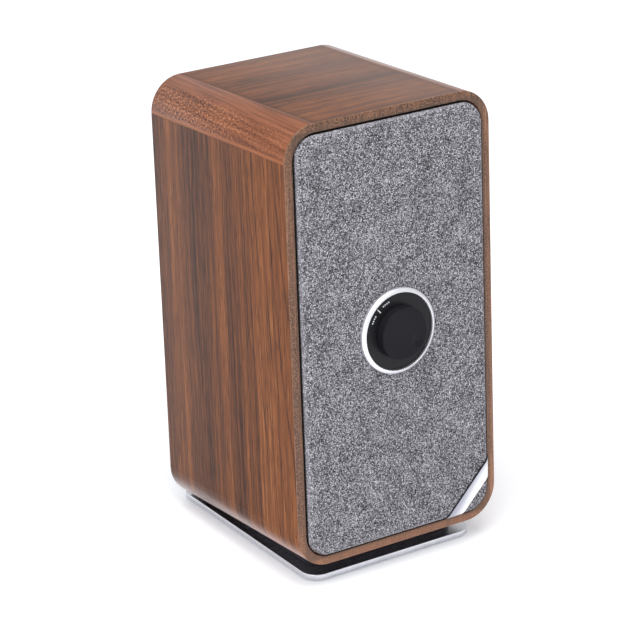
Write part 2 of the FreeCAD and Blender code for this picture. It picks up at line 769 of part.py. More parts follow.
DRIVERS = (("upper", upper_driver_up), ("lower", lower_driver_up))
for which, level in DRIVERS:
    basket = turned("basket", [
        (gap_outside, basket_floor), (ledge_radius + basket_wall, basket_floor), (slope_start, ledge - paper),
        (slope_end, flange_back), (driver_flange_radius, flange_back),
        (driver_flange_radius, flange_front), (rim_radius - paper, flange_front),
        (ledge_radius + spider_glue, ledge), (ledge_radius, ledge), (ledge_radius, basket_floor + sheet_metal),
        (gap_outside, basket_floor + sheet_metal)])
    bores(basket, diagonals(screw_circle, 0), screw_radius, flange_front, sheet_metal)
    piece(seat(basket, 0, level), which + "_driver_basket")
    piece(seat(turned("magnet", [
        (as_size(0), magnet_low), (magnet_radius, magnet_low), (magnet_radius, basket_floor),
        (gap_outside, basket_floor), (gap_outside, pole_low), (gap_inside, pole_low),
        (gap_inside, basket_floor), (as_size(0), basket_floor)]), 0, level), which + "_driver_magnet")
    piece(seat(turned("coil", [
        (coil_radius, coil_bottom), (coil_outside, coil_bottom), (coil_outside, neck), (coil_radius, neck)]),
        0, level), which + "_driver_voice_coil")
    piece(seat(turned("spider", [
        (coil_outside, ledge), (spider_edge, ledge), (spider_edge, ledge + paper),
        (coil_outside, ledge + paper)]), 0, level), which + "_driver_spider")
    piece(seat(turned("cone", [
        (coil_outside, neck - cone_skirt), (coil_outside + paper, neck - cone_skirt),
        (cone_radius, flange_front - paper), (cone_radius, flange_front),
        (cone_radius - glue_width, flange_front), (coil_outside, neck)]), 0, level), which + "_driver_cone")
    piece(seat(turned("dust_cap", [
        (as_size(0), neck + cap_rise), (as_size(0), neck + cap_rise - paper),
        (coil_radius - paper, neck), (coil_outside, neck)]), 0, level), which + "_driver_dust_cap")
    piece(seat(turned("surround", [
        (cone_radius - glue_width, flange_front), (cone_radius, flange_front),
        (cone_radius + paper, flange_front, -inner_roll), (rim_radius - paper, flange_front),
        (rim_radius + rim_glue, flange_front), (rim_radius + rim_glue, flange_front + paper),
        (rim_radius - roll_inset, flange_front + paper, half_roll),
        (cone_radius + roll_inset, flange_front + paper), (cone_radius - glue_width, flange_front + paper)]),
        0, level), which + "_driver_surround")

gaskets = [cut(cylinder(driver_flange_radius, baffle_front, flange_back, 0, level),
               fuse(cylinder(cutout_radius, baffle_front, flange_back, 0, level),
                    *[cylinder(screw_radius, baffle_front, flange_back, across, up)
                      for across, up in driver_screw_places]))
           for which, level in DRIVERS]
piece(seat(group(gaskets)), "driver_gaskets")
baffle_screws = [screw(screw_radius, flange_front, -driver_screw_length, across, up)
                 for across, up in driver_screw_places]
baffle_screws += [screw(screw_radius, baffle_front + flange_thickness, -housing_screw_length, across, up)
                  for across, up in housing_screw_places]
piece(seat(group(baffle_screws)), "baffle_screws")

# ---- acoustic foam on the inner walls ----
foam = cell("foam", 8)
foam_front = baffle_back - cell("foam_gap", 3)
foam_back = rear_inside + cell("foam_end", 55)
foam_low = corner_radius + foam
foam_high = post_top - clearance
foam_x = post_x - clearance
inner_x = half_width - wall
piece(seat(group([
    block(-inner_x, foam - inner_x, foam_low, foam_high, foam_back, foam_front),
    block(inner_x - foam, inner_x, foam_low, foam_high, foam_back, foam_front),
    block(-foam_x, foam_x, cabinet_height - wall - foam, cabinet_height - wall, foam_back, foam_front)])),
    "acoustic_foam")

# ---- rear: panel, reflex port, connector plate, sockets and the pairing button ----
flare_depth = cell("flare_depth", 14)
flare_bend = (flare_depth * flare_depth + port_flare * port_flare) / (2 * port_flare)
port_outside = port_radius + port_wall
collar_radius = port_radius + port_collar
window_x = connector_width / 2 - plate_lap
window_y = connector_height / 2 - plate_lap

rear_panel = slab("rear_panel", rear_face, rear_inside, cabinet_outline, lip_width + glue_gap)
bores(rear_panel, [(0, port_up)], collar_radius + slip_gap, rear_inside, rear_panel_thickness)
bores(rear_panel, corner_screws + side_screws, screw_radius + slip_gap, rear_inside, rear_panel_thickness)
sketch = sketch_on(rear_panel, "XY_Plane", rear_inside)
rectangle(sketch, -window_x, window_x, plate_up - window_y, plate_up + window_y)
pocket(rear_panel, sketch, rear_panel_thickness)
plate_screw_places = four_corners(connector_width / 2 - plate_screw_inset,
                                  connector_height / 2 - plate_screw_inset, plate_up)
bores(rear_panel, plate_screw_places, screw_radius, rear_inside, rear_panel_thickness)
piece(seat(rear_panel), "rear_panel")
piece(seat(group([screw(screw_radius, rear_face, rear_screw_reach, across, up)
                  for across, up in corner_screws + side_screws])), "rear_panel_screws")

port_end = rear_face + port_length
piece(seat(turned("port_tube", [
    (port_radius, port_end), (port_radius, plate_face + flare_depth, flare_bend),
    (port_radius + port_flare, plate_face), (collar_radius + port_flange, plate_face),
    (collar_radius + port_flange, rear_face), (collar_radius, rear_face), (collar_radius, rear_inside),
    (port_outside, rear_inside + port_taper), (port_outside, port_end)]), 0, port_up), "reflex_port")

inlet_x, jack_x, service_x, button_x = [socket_pitch * step for step in (-1.5, -0.5, 0.5, 1.5)]
inlet_nose = inlet_bore + socket_wall
jack_nose = jack_bore + socket_wall
service_half = cell("service_half", 4.5)
service_rise = cell("service_rise", 1.65)


def plate_outline(sketch):
    rounded_rectangle(sketch, -(connector_width / 2), connector_width / 2, plate_up - connector_height / 2,
                      plate_up + connector_height / 2, plate_corner)


def service_outline(sketch, inset):
    rounded_rectangle(sketch, service_x - service_half + inset, service_x + service_half - inset,
                      plate_up - service_rise + inset, plate_up + service_rise - inset,
                      service_rise - inset - slip_gap)


connector_plate = slab("connector_plate", plate_face, rear_face, plate_outline)
bores(connector_plate, [(inlet_x, plate_up)], inlet_nose + slip_gap, rear_face, connector_thickness)
bores(connector_plate, [(jack_x, plate_up)], jack_nose + slip_gap, rear_face, connector_thickness)
bores(connector_plate, [(button_x, plate_up)], button_radius + moving_gap, rear_face, connector_thickness)
bores(connector_plate, plate_screw_places, screw_radius + slip_gap, rear_face, connector_thickness)
sketch = sketch_on(connector_plate, "XY_Plane", rear_face)
service_outline(sketch, -slip_gap)
pocket(connector_plate, sketch, connector_thickness)
piece(seat(connector_plate), "connector_plate")
piece(seat(group([screw(screw_radius, plate_face, plate_screw_length, across, up)
                  for across, up in plate_screw_places])), "connector_plate_screws")

main_back = rear_inside + standoff
main_front = main_back + board_thickness
shell_back = rear_face + shell_gap


def socket_shell(nose_radius, across):
    """A square socket on the amplifier board, with a round nose in the connector plate."""
    shell = block(across - shell_half_width, across + shell_half_width, plate_up - shell_half_height,
                  plate_up + shell_half_height, shell_back, main_back)
    return fuse(shell, cylinder(nose_radius, plate_face, shell_back, across, plate_up))


inlet_end = plate_face + inlet_depth
inlet_room = cut(cylinder(inlet_bore, plate_face, inlet_end, inlet_x, plate_up),
                 cylinder(inlet_pin, plate_face + pin_setback, inlet_end, inlet_x, plate_up))
piece(seat(cut(socket_shell(inlet_nose, inlet_x), inlet_room)), "power_inlet")
jack_room = cylinder(jack_bore, plate_face, plate_face + jack_length, jack_x, plate_up)
piece(seat(cut(socket_shell(jack_nose, jack_x), jack_room)), "aux_jack")

service_socket = slab("service_socket", plate_face, main_back, service_outline, as_size(0))
sketch = sketch_on(service_socket, "XY_Plane", plate_face)
service_outline(sketch, cell("service_wall", 0.3))
pocket(service_socket, sketch, service_depth, rising=True)
piece(seat(service_socket), "service_socket")

button_face = plate_face - button_travel
button_ledge = rear_face + button_gap
button_back = button_ledge + button_flange
button_edge = button_radius + clearance
piece(seat(turned("pairing_button", [
    (as_size(0), button_face), (button_radius, button_face), (button_radius, button_ledge),
    (button_edge, button_ledge), (button_edge, button_back), (as_size(0), button_back)]),
    button_x, plate_up), "pairing_button")
switch_back = button_back + button_travel + moving_gap
piece(seat(group([block(button_x - switch_half, button_x + switch_half, plate_up - switch_half,
                        plate_up + switch_half, switch_back, main_back)])), "pairing_switch")

# ---- amplifier board on four standoffs, with its heat sink ----
main_up = plate_up + main_rise
main_places = four_corners(main_width / 2 - main_screw_inset, main_height / 2 - main_screw_inset, main_up)


def main_outline(sketch):
    rectangle(sketch, -(main_width / 2), main_width / 2, main_up - main_height / 2, main_up + main_height / 2)


amplifier_board = slab("amplifier_board", main_back, main_front, main_outline)
bores(amplifier_board, main_places, screw_radius + slip_gap, main_front, board_thickness)
piece(seat(amplifier_board), "amplifier_board")
piece(seat(group([cut(cylinder(standoff_radius, rear_inside, main_back, across, up),
                      cylinder(screw_radius, rear_inside, main_back, across, up))
                  for across, up in main_places])), "board_standoffs")
control_screws = [screw(small_screw, board_front - board_thickness, board_screw_length, across, dial_up + up)
                  for across, up in boss_places]
piece(seat(group([screw(screw_radius, main_front, -board_screw_length, across, up)
                  for across, up in main_places] + control_screws)), "board_screws")

chip_half = cell("chip_half", 5)
chip_x = cell("chip_x", 9)
chip_up = plate_up + cell("chip_rise", 23)
chip_front = main_front + cell("chip_height", 1.5)
components = [block(middle - chip_half, middle + chip_half, chip_up - chip_half, chip_up + chip_half, main_front,
                    chip_front) for middle in (-chip_x, chip_x)]
capacitor_radius = cell("capacitor_radius", 7)
capacitor_pitch = cell("capacitor_pitch", 18)
capacitor_top = main_front + cell("capacitor_height", 20)
capacitor_up = plate_up - cell("capacitor_drop", 32)
components += [cylinder(capacitor_radius, main_front, capacitor_top, capacitor_pitch * step, capacitor_up)
               for step in (-2, -1, 1, 2)]
piece(seat(group(components)), "board_components")
sink_half_width = cell("sink_half_width", 25)
sink_half_height = cell("sink_half_height", 15)
sink_floor = chip_front + cell("sink_floor", 4)
fin_half = cell("fin_half", 1)
fin_pitch = cell("fin_pitch", 6)
fin_top = sink_floor + cell("fin_height", 18)
sink_low, sink_high = chip_up - sink_half_height, chip_up + sink_half_height
fins = [block(fin_pitch * step - fin_half, fin_pitch * step + fin_half, sink_low, sink_high, sink_floor, fin_top)
        for step in range(-3, 4)]
piece(seat(fuse(block(-sink_half_width, sink_half_width, sink_low, sink_high, chip_front, sink_floor), *fins)),
      "heat_sink")

# ---- wires inside: a lead to each driver's terminal block, and a ribbon to the control board ----
lead_radius = cell("lead_radius", 1.6)
lead_x = cell("lead_x", 33)
lead_start = main_up + cell("lead_rise", 44)
lead_bend = main_front + cell("lead_bend", 20)
terminal_half = cell("terminal_half", 4)
terminal_back = ledge - cell("terminal_drop", 1)
terminal_front = ledge + cell("terminal_length", 8)


def terminal(level):
    """A block on the slope of a basket, for its lead."""
    slope = cone(slope_start, slope_end, ledge - paper, flange_back, 0, level)
    return cut(block(lead_x - terminal_half, lead_x + terminal_half, level - terminal_half, level + terminal_half,
                     terminal_back, terminal_front), slope)


def bend(up, out):
    """A round elbow where two straight runs of a lead meet."""
    ball = doc.addObject("Part::Sphere", "bend")
    bind(ball, "Radius", lead_radius)
    return shift(ball, lead_x, up, out)


lower_lead = fuse(cylinder(lead_radius, main_front, terminal_back, lead_x, lower_driver_up),
                  terminal(lower_driver_up))
upper_lead = fuse(cylinder(lead_radius, main_front, lead_bend, lead_x, lead_start), bend(lead_start, lead_bend),
                  upright(lead_radius, lead_start, upper_driver_up, lead_x, -lead_bend),
                  bend(upper_driver_up, lead_bend),
                  cylinder(lead_radius, lead_bend, terminal_back, lead_x, upper_driver_up),
                  terminal(upper_driver_up))
ribbon_half = cell("ribbon_half", 6)
ribbon_thickness = cell("ribbon_thickness", 1)
ribbon_low = lead_start + ribbon_thickness
ribbon_high = dial_up - cell("ribbon_drop", 8)
ribbon_bend = lead_bend + ribbon_thickness
ribbon = fuse(block(-ribbon_half, ribbon_half, lead_start, ribbon_low, main_front, ribbon_bend),
              block(-ribbon_half, ribbon_half, lead_start, ribbon_high, lead_bend, ribbon_bend),
              block(-ribbon_half, ribbon_half, ribbon_high - ribbon_thickness, ribbon_high, lead_bend,
                    board_front - board_thickness))
piece(seat(group([lower_lead, upper_lead, ribbon])), "wiring_loom")

# ---- stand: polished plate on a rubber sheet, and the black wedge that leans the cabinet back ----
def base_outline(sketch, inset, radius):
    rounded_rectangle(sketch, inset - base_width / 2, base_width / 2 - inset,
                      inset - base_depth / 2, base_depth / 2 - inset, radius)


plate_screw_radius = cell("plate_screw_radius", 2)
plate_screw_x = base_width / 2 - stand_screw_inset
screw_offsets = (cell("first_screw", 16), cell("second_screw", 62))
stand_screw_places = [(side * plate_screw_x, offset - base_depth / 2) for side in (-1, 1)
                      for offset in screw_offsets]
screw_head = plate_screw_radius + countersink
sink_top = pad_thickness + countersink
screw_top = base_top + plate_screw_reach
base_blank = slab("base_blank", pad_thickness, base_top, base_outline, as_size(0), base_radius)
chamfer_holes = fuse(*[fuse(cylinder(plate_screw_radius, pad_thickness, base_top, across, up),
                            cone(screw_head, plate_screw_radius, pad_thickness, sink_top, across, up))
                       for across, up in stand_screw_places])
piece(cut(base_blank, chamfer_holes), "base_plate")
piece(group([fuse(cone(screw_head, plate_screw_radius, pad_thickness, sink_top, across, up),
                  cylinder(plate_screw_radius, sink_top, screw_top, across, up))
             for across, up in stand_screw_places]), "base_screws")
piece(slab("base_pad", as_size(0), pad_thickness, base_outline, pad_inset, base_radius - pad_inset),
      "base_pad")



def riser_outline(sketch):
    rounded_rectangle(sketch, riser_inset - base_width / 2, base_width / 2 - riser_inset,
                      riser_setback - base_depth / 2, base_depth / 2 - riser_tail, base_radius)


riser_blank = slab("riser_blank", base_top, base_top + riser_front, riser_outline)
cabinet_room = seat(group([block(-cabinet_width, cabinet_width, as_size(0), cabinet_height,
                                 -cabinet_depth * 2, cabinet_depth)]))


def leaning_rods(radius, low, high):
    """Rods square to the cabinet's bottom face, for the bolts that run up into the inserts."""
    return seat(fuse(*[upright(radius, low, high, across, depth) for across, depth in insert_places]))


bolt_head_top = cell("bolt_head_top", 1.6)
bolt_head_height = cell("bolt_head_height", 2)
bolt_head = bolt_radius + bolt_head_width
head_space = leaning_rods(bolt_head + moving_gap, -bolt_head_top - riser_front, -bolt_head_top)
shank_space = leaning_rods(bolt_radius + moving_gap, -bolt_head_top - clearance, clearance)
screw_space = fuse(*[cylinder(plate_screw_radius, base_top, screw_top + clearance, across, up)
                     for across, up in stand_screw_places])
piece(cut(cut(riser_blank, cabinet_room), fuse(head_space, shank_space, screw_space)), "stand_wedge")
piece(seat(group([fuse(upright(bolt_head, -bolt_head_top - bolt_head_height, -bolt_head_top, across, depth),
                       upright(bolt_radius, -bolt_head_top, bolt_reach, across, depth))
                  for across, depth in insert_places])), "stand_bolts")

# ---- check every feature, then write the pieces ----
doc.recompute()
faults = [thing.Label for thing in doc.Objects if "Invalid" in thing.State or "Error" in thing.State]
faults += [thing.Label for thing in pieces if thing.Shape.isNull() or not thing.Shape.isValid()]
if faults:
    raise RuntimeError("these did not build: " + ", ".join(faults))
names = [thing.Label for thing in pieces]
if len(set(names)) != len(names) or len(names) > 60:
    raise RuntimeError("names repeat, or there are too many: %d" % len(names))
os.makedirs("parts", exist_ok=True)
for thing in pieces:
    thing.Shape.exportStep("parts/%s.step" % thing.Label)
print("wrote %d pieces" % len(pieces))
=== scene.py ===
import json
import math
import random

import bmesh
import bpy
from mathutils import Matrix, Vector

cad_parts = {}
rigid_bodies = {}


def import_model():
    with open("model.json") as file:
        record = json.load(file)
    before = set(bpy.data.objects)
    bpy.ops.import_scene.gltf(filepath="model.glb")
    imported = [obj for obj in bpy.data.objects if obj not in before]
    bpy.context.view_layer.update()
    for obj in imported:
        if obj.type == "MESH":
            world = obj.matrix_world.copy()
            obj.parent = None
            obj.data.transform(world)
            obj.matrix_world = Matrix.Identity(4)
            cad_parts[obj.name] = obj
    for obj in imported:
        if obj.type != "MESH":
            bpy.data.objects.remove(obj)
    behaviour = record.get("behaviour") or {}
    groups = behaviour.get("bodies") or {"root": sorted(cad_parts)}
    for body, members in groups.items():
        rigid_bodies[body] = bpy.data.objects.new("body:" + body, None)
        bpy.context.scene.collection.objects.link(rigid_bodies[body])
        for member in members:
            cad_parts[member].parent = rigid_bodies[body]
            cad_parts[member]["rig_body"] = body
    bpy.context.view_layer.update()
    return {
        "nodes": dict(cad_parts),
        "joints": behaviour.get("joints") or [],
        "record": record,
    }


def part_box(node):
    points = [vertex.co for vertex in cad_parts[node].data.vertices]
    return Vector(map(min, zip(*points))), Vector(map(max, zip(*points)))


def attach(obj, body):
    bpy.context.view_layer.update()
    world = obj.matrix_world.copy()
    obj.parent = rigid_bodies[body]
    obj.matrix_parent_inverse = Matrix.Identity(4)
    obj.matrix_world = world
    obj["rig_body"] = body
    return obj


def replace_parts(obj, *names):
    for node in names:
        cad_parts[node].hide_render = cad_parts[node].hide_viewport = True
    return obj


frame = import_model()
scene = bpy.context.scene

# ---- Cabinet boards ----
# Four boards faced with walnut veneer, satin lacquered. The sides carry upright stripes that run on
# round the lower corners, the top is cut across the cabinet. The whole case leans back on its stand,
# so its pieces are laid out in a face frame: across, up the cabinet, and out towards the listener.

turning = next(joint for joint in frame["joints"] if joint["name"] == "knob_turn")
lean = math.atan2(turning["axis"][2], -turning["axis"][1])
face_turn = Matrix.Rotation(math.pi / 2 - lean, 3, "X")
veneer = 0.0008
lip_low, lip_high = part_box("front_veneer_frame")
face_origin = Vector((0, lip_low.y, lip_low.z + veneer * math.sin(lean)))
half_width = lip_high.x
cabinet_height = (lip_high.z - face_origin.z) / math.cos(lean)
cabinet_depth = 0.165
corner_radius = 0.024
post_x = half_width - corner_radius
post_top = cabinet_height - corner_radius
slots = {part["node"]: part["material_slot"] for part in frame["record"]["subparts"]}


def at(across, up, out):
    """A place of the face frame, in the row frame."""
    return face_origin + face_turn @ Vector((across, up, out))


def paint(red, green, blue):
    """A colour named by its three screen values, 0 to 255."""
    shades = [value / 255 for value in (red, green, blue)]
    return tuple(s / 12.92 if s < 0.04045 else ((s + 0.055) / 1.055) ** 2.4 for s in shades) + (1,)


class Finish:
    """One material while it is being mixed: nodes are added to it and fed to its shader."""

    def __init__(self, name, **shader):
        self.material = bpy.data.materials.new(name)
        self.material.use_nodes = True
        self.nodes = self.material.node_tree.nodes
        self.links = self.material.node_tree.links
        self.shader = self.nodes["Principled BSDF"]
        for socket, value in shader.items():
            self.feed(self.shader.inputs[socket.replace("_", " ")], value)

    def feed(self, socket, value):
        if isinstance(value, bpy.types.NodeSocket):
            self.links.new(value, socket)
        else:
            socket.default_value = value

    def add(self, kind, inputs=(), **settings):
        node = self.nodes.new("ShaderNode" + kind)
        for name, value in settings.items():
            setattr(node, name, value)
        for socket, value in dict(inputs).items():
            self.feed(node.inputs[socket], value)
        return node

    def math(self, operation, *values):
        return self.add("Math", enumerate(values), operation=operation).outputs[0]

    def spread(self, value, low, high, to_low=0.0, to_high=1.0):
        """A value taken from one range to another, smoothly and within its ends."""
        limits = enumerate((value, low, high, to_low, to_high))
        return self.add("MapRange", limits, interpolation_type="SMOOTHSTEP").outputs[0]

    def face_place(self, across=0.0, up=0.0, out=0.0):
        """Object coordinates turned into the face frame and centred on a place of it."""
        coordinates = self.add("TexCoord").outputs["Object"]
        turned = self.add("Mapping", {"Vector": coordinates, "Location": at(across, up, out),
                                      "Rotation": (math.pi / 2 - lean, 0, 0)}, vector_type="TEXTURE")
        return turned.outputs[0]

    def split(self, place):
        return self.add("SeparateXYZ", {0: place}).outputs

    def join(self, x, y, z=0.0):
        return self.add("CombineXYZ", {0: x, 1: y, 2: z}).outputs[0]

    def noise(self, place, detail=2.0, roughness=0.5, scale=1.0):
        return self.add("TexNoise", {"Vector": place, "Scale": scale, "Detail": detail,
                                     "Roughness": roughness}).outputs[0]

    def ramp(self, value, stops, smooth=True):
        """A colour for each value: stops are places from 0 to 1 with their colours."""
        node = self.add("ValToRGB", {0: value})
        node.color_ramp.interpolation = "EASE" if smooth else "LINEAR"
        elements = node.color_ramp.elements
        while len(elements) < len(stops):
            elements.new(0.5)
        for element, (place, colour) in zip(elements, stops):
            element.position = place
            element.color = colour
        return node.outputs[0]

    def blend(self, share, first, second):
        return self.add("Mix", {0: share, 6: first, 7: second}, data_type="RGBA").outputs[2]

    def relief(self, height, depth, strength=1.0):
        bump = self.add("Bump", {"Height": height, "Distance": depth, "Strength": strength})
        self.feed(self.shader.inputs["Normal"], bump.outputs[0])

    def colour(self, value):
        self.feed(self.shader.inputs["Base Color"], value)
        return self.material


# Near black: a real stain on the bottom board, and painted shade where the lower rounds turn under the
# cabinet.
black_stain_and_shade = paint(34, 31, 32)
walnut_tones = [(0.0, paint(58, 36, 29)), (0.3, paint(88, 55, 40)), (0.55, paint(113, 69, 44)),
                (0.78, paint(130, 79, 48)), (1.0, paint(154, 100, 64))]


def grey(value):
    return (value, value, value, 1)


def walnut(finish, place, seed, bands, tones=walnut_tones, stripe=0.7, figure=None):
    """Walnut with its grain along y and its stripes across x. Bands give the broad light and dark
    areas: distance across in metres, and how light the wood is there, from 0 to 1."""
    x, y, z = finish.split(place)
    shifted = finish.math("ADD", y, seed)
    bend = finish.noise(finish.join(finish.math("MULTIPLY", x, 14.0),
                                    finish.math("MULTIPLY", shifted, 4.5), seed))
    wander = finish.math("MULTIPLY_ADD", bend, 0.012, -0.006)
    across = finish.math("ADD", x, wander)

    def strand(scale_across, scale_along, detail, roughness=0.55):
        return finish.noise(finish.join(finish.math("MULTIPLY", across, scale_across),
                                        finish.math("MULTIPLY", shifted, scale_along), seed + scale_across),
                            detail, roughness)

    start, end = bands[0][0], bands[-1][0]
    share = finish.math("DIVIDE", finish.math("SUBTRACT", across, start), end - start)
    broad = finish.ramp(share, [((place - start) / (end - start), grey(value)) for place, value in bands])
    stripes = finish.math("MULTIPLY_ADD", strand(230.0, 1.8, 3.0), stripe * 2, -stripe)
    streaks = finish.math("MULTIPLY_ADD", strand(560.0, 9.0, 3.0, 0.65), 1.1, -0.55)
    fibres = finish.math("MULTIPLY_ADD", strand(1250.0, 46.0, 2.0), 1.1, -0.55)
    tone = finish.math("ADD", broad, finish.math("ADD", stripes, finish.math("ADD", streaks, fibres)))
    if figure is not None:
        tone = finish.math("SUBTRACT", tone, figure)
    wood = finish.ramp(tone, tones)
    pores = finish.spread(strand(1150.0, 60.0, 2.0, 0.6), 0.56, 0.68)
    wood = finish.blend(finish.math("MULTIPLY", pores, 0.6), wood, paint(50, 30, 26))
    finish.relief(finish.math("SUBTRACT", finish.math("MULTIPLY", streaks, 0.6), pores), 0.00006, 0.5)
    finish.feed(finish.shader.inputs["Roughness"], finish.math("MULTIPLY_ADD", streaks, 0.2, 0.40))
    return wood


def cathedral(finish, place, centre_across, tip_up, width, height, pitch, near, far):
    """Arched growth lines, standing one inside the other, where the saw cut across the rings."""
    x, y, z = finish.split(place)
    sway = finish.noise(finish.join(finish.math("MULTIPLY", x, 40.0), finish.math("MULTIPLY", y, 9.0)), 2.0)
    off = finish.math("DIVIDE", finish.math("SUBTRACT", x, centre_across), width)
    rise = finish.math("DIVIDE", finish.math("SUBTRACT", y, tip_up), height)
    ring = finish.math("ADD", finish.math("MULTIPLY", off, off), rise)
    ring = finish.math("MULTIPLY_ADD", sway, 0.55, ring)
    wave = finish.math("PINGPONG", finish.math("MULTIPLY", ring, pitch), 1.0)
    lines = finish.spread(wave, 0.76, 0.98)
    patches = finish.join(finish.math("MULTIPLY", ring, 3.0), finish.math("MULTIPLY", y, 14.0))
    patchy = finish.spread(finish.noise(patches, 2.0), 0.36, 0.62, 0.04, 0.42)
    return finish.math("MULTIPLY", finish.math("MULTIPLY", lines, patchy), finish.spread(x, near, far))


def side_walnut(name, seed):
    """A side's veneer, seen from outside: x runs from the back edge to the front edge."""
    finish = Finish(name, Roughness=0.42, Specular_IOR_Level=0.1, Coat_Roughness=0.22)
    place = finish.face_place(0, 0, -cabinet_depth)
    across, up, out = finish.split(place)
    turned = finish.join(out, up, across)
    bands = [(0.0, 0.28), (0.010, 0.34), (0.018, 0.60), (0.030, 0.50), (0.042, 0.30), (0.058, 0.24),
             (0.070, 0.42), (0.082, 0.58), (0.096, 0.40), (0.112, 0.52), (0.126, 0.62), (0.142, 0.66),
             (cabinet_depth, 0.62)]
    rings = cathedral(finish, turned, 0.178, 0.165, 0.030, -0.15, 2.6, 0.088, 0.128)
    wood = walnut(finish, turned, seed, bands, figure=rings)
    # Towards the bottom the lower round is painted paler: a painted reflection of the white floor.
    wood = finish.blend(finish.spread(up, 0.019, 0.004, 0.0, 0.42), wood, paint(206, 162, 152))
    finish.feed(finish.shader.inputs["Coat Weight"], finish.spread(up, 0.022, 0.010))
    # Below 4.5 mm the lower round's underside is painted near black: painted shade where little light reaches
    # under the cabinet.
    stain_and_shade = finish.spread(up, 0.0045, 0.0030, 0.0, 0.9)
    return finish.colour(finish.blend(stain_and_shade, wood, black_stain_and_shade))


def settled(thing):
    """Apply a piece's modifiers for good."""
    graph = bpy.context.evaluated_depsgraph_get()
    mesh = bpy.data.meshes.new_from_object(thing.evaluated_get(graph))
    thing.modifiers.clear()
    thing.data = mesh
    return thing


def shown(name, mesh, body, material):
    """Put a finished mesh into the scene as a piece that rides on a body."""
    thing = bpy.data.objects.new(name, mesh)
    scene.collection.objects.link(thing)
    mesh.materials.clear()
    mesh.materials.append(material)
    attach(thing, body)
    return thing


def eased(node, material, ease, corner=35):
    """A finer copy of a CAD piece, its loose triangles joined and its arrises eased."""
    source = frame["nodes"][node]
    mesh = bpy.data.meshes.new(node + "_eased")
    joined = bmesh.new()
    joined.from_mesh(source.data)
    bmesh.ops.remove_doubles(joined, verts=joined.verts, dist=1e-6)
    bmesh.ops.dissolve_limit(joined, angle_limit=math.radians(0.5), verts=joined.verts, edges=joined.edges)
    for face in joined.faces:
        face.smooth = len(face.verts) <= 4
    joined.to_mesh(mesh)
    joined.free()
    thing = shown(node + "_finished", mesh, source["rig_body"], material)
    bevel = thing.modifiers.new("ease", "BEVEL")
    bevel.width = ease
    bevel.segments = 2
    bevel.limit_method = "ANGLE"
    bevel.angle_limit = math.radians(corner)
    bevel.harden_normals = True
    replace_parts(settled(thing), node)
    return thing


left_walnut = side_walnut("walnut, left side", 3.1)
right_walnut = side_walnut("walnut, right side", 8.7)
arris = 0.00008
eased("cabinet_left_panel", left_walnut, arris)
eased("cabinet_right_panel", right_walnut, arris)


def level_walnut(name, seed, stain_and_shade=0.0):
    """The veneer of the top and the bottom: its grain runs across the cabinet, and it is painted paler
    towards the right and back as a painted sheen. Stain blackens it; on the bottom board this is a real black
    stain.
    """
    finish = Finish(name, Roughness=0.4, Specular_IOR_Level=0.25)
    across, up, out = finish.split(finish.face_place(0, 0, -cabinet_depth))
    bands = [(0.0, 0.36), (0.02, 0.48), (0.045, 0.30), (0.07, 0.42), (0.10, 0.26), (0.125, 0.44),
             (0.145, 0.52), (cabinet_depth, 0.34)]
    wood = walnut(finish, finish.join(out, across, up), seed, bands, stripe=0.5)
    joint = finish.spread(finish.math("ABSOLUTE", across), post_x - 0.006, post_x, 0.0, 0.5)
    wood = finish.blend(joint, wood, paint(70, 40, 26))
    # The top is painted paler towards its right and back: a painted sheen of the light from above.
    slant = finish.math("SUBTRACT", across, finish.math("MULTIPLY", out, 0.6))
    painted_sheen = finish.spread(slant, -0.12, 0.05, 0.02, 0.22)
    wood = finish.blend(painted_sheen, wood, paint(156, 124, 110))
    return finish.colour(finish.blend(stain_and_shade, wood, black_stain_and_shade))


eased("cabinet_top_panel", level_walnut("walnut, top", 5.3), arris)
eased("cabinet_bottom_panel", level_walnut("walnut, stained underside", 9.9, 0.9), arris)

# ---- Corner posts ----
# Four quarter-round posts of solid walnut, glued between the boards and turned flush with them. The
# upper pair shows speckled wood with its grain along the depth; the lower pair is veneered over, so
# the sides' upright stripes run round it.

post_tones = [(0.0, paint(70, 38, 26)), (0.35, paint(112, 66, 44)), (0.6, paint(136, 82, 56)),
              (1.0, paint(176, 118, 84))]
finish = Finish("walnut, upper posts", Roughness=0.4, Specular_IOR_Level=0.25, Coat_Roughness=0.22)
across, up, out = finish.split(finish.face_place(0, post_top, -cabinet_depth))
past_side = finish.math("SUBTRACT", finish.math("ABSOLUTE", across), post_x)
round_post = finish.math("ARCTAN2", up, past_side)
girth = finish.math("MULTIPLY", round_post, corner_radius)
slanted = finish.math("MULTIPLY_ADD", out, 0.05, girth)
grain_place = finish.join(finish.math("MULTIPLY", slanted, 420.0), finish.math("MULTIPLY", out, 14.0), 2.0)
grain = finish.noise(grain_place, 3.0)
fleck_place = finish.join(finish.math("MULTIPLY", girth, 760.0), finish.math("MULTIPLY", out, 480.0), 6.0)
flecks = finish.noise(fleck_place, 2.0, 0.6)
drift_place = finish.join(finish.math("MULTIPLY", girth, 60.0), finish.math("MULTIPLY", out, 22.0), 4.0)
drift = finish.math("MULTIPLY_ADD", finish.noise(drift_place, 2.0), 0.012, -0.006)
wavering = finish.math("ADD", girth, drift)
belly = finish.math("MULTIPLY", finish.spread(wavering, 0.0, 0.004), finish.spread(wavering, 0.026, 0.019))
speckle = finish.math("MULTIPLY", belly, finish.spread(out, cabinet_depth, 0.03, 0.30, 1.0))
tone = finish.math("MULTIPLY_ADD", finish.math("SUBTRACT", grain, 0.5), 1.3, 0.5)
flecked = finish.math("MULTIPLY", finish.math("SUBTRACT", flecks, 0.5), speckle)
tone = finish.math("MULTIPLY_ADD", flecked, 3.4, tone)
wood = finish.ramp(tone, post_tones)
seam = finish.math("MULTIPLY", finish.spread(girth, 0.0004, 0.0010), finish.spread(girth, 0.0032, 0.0020))
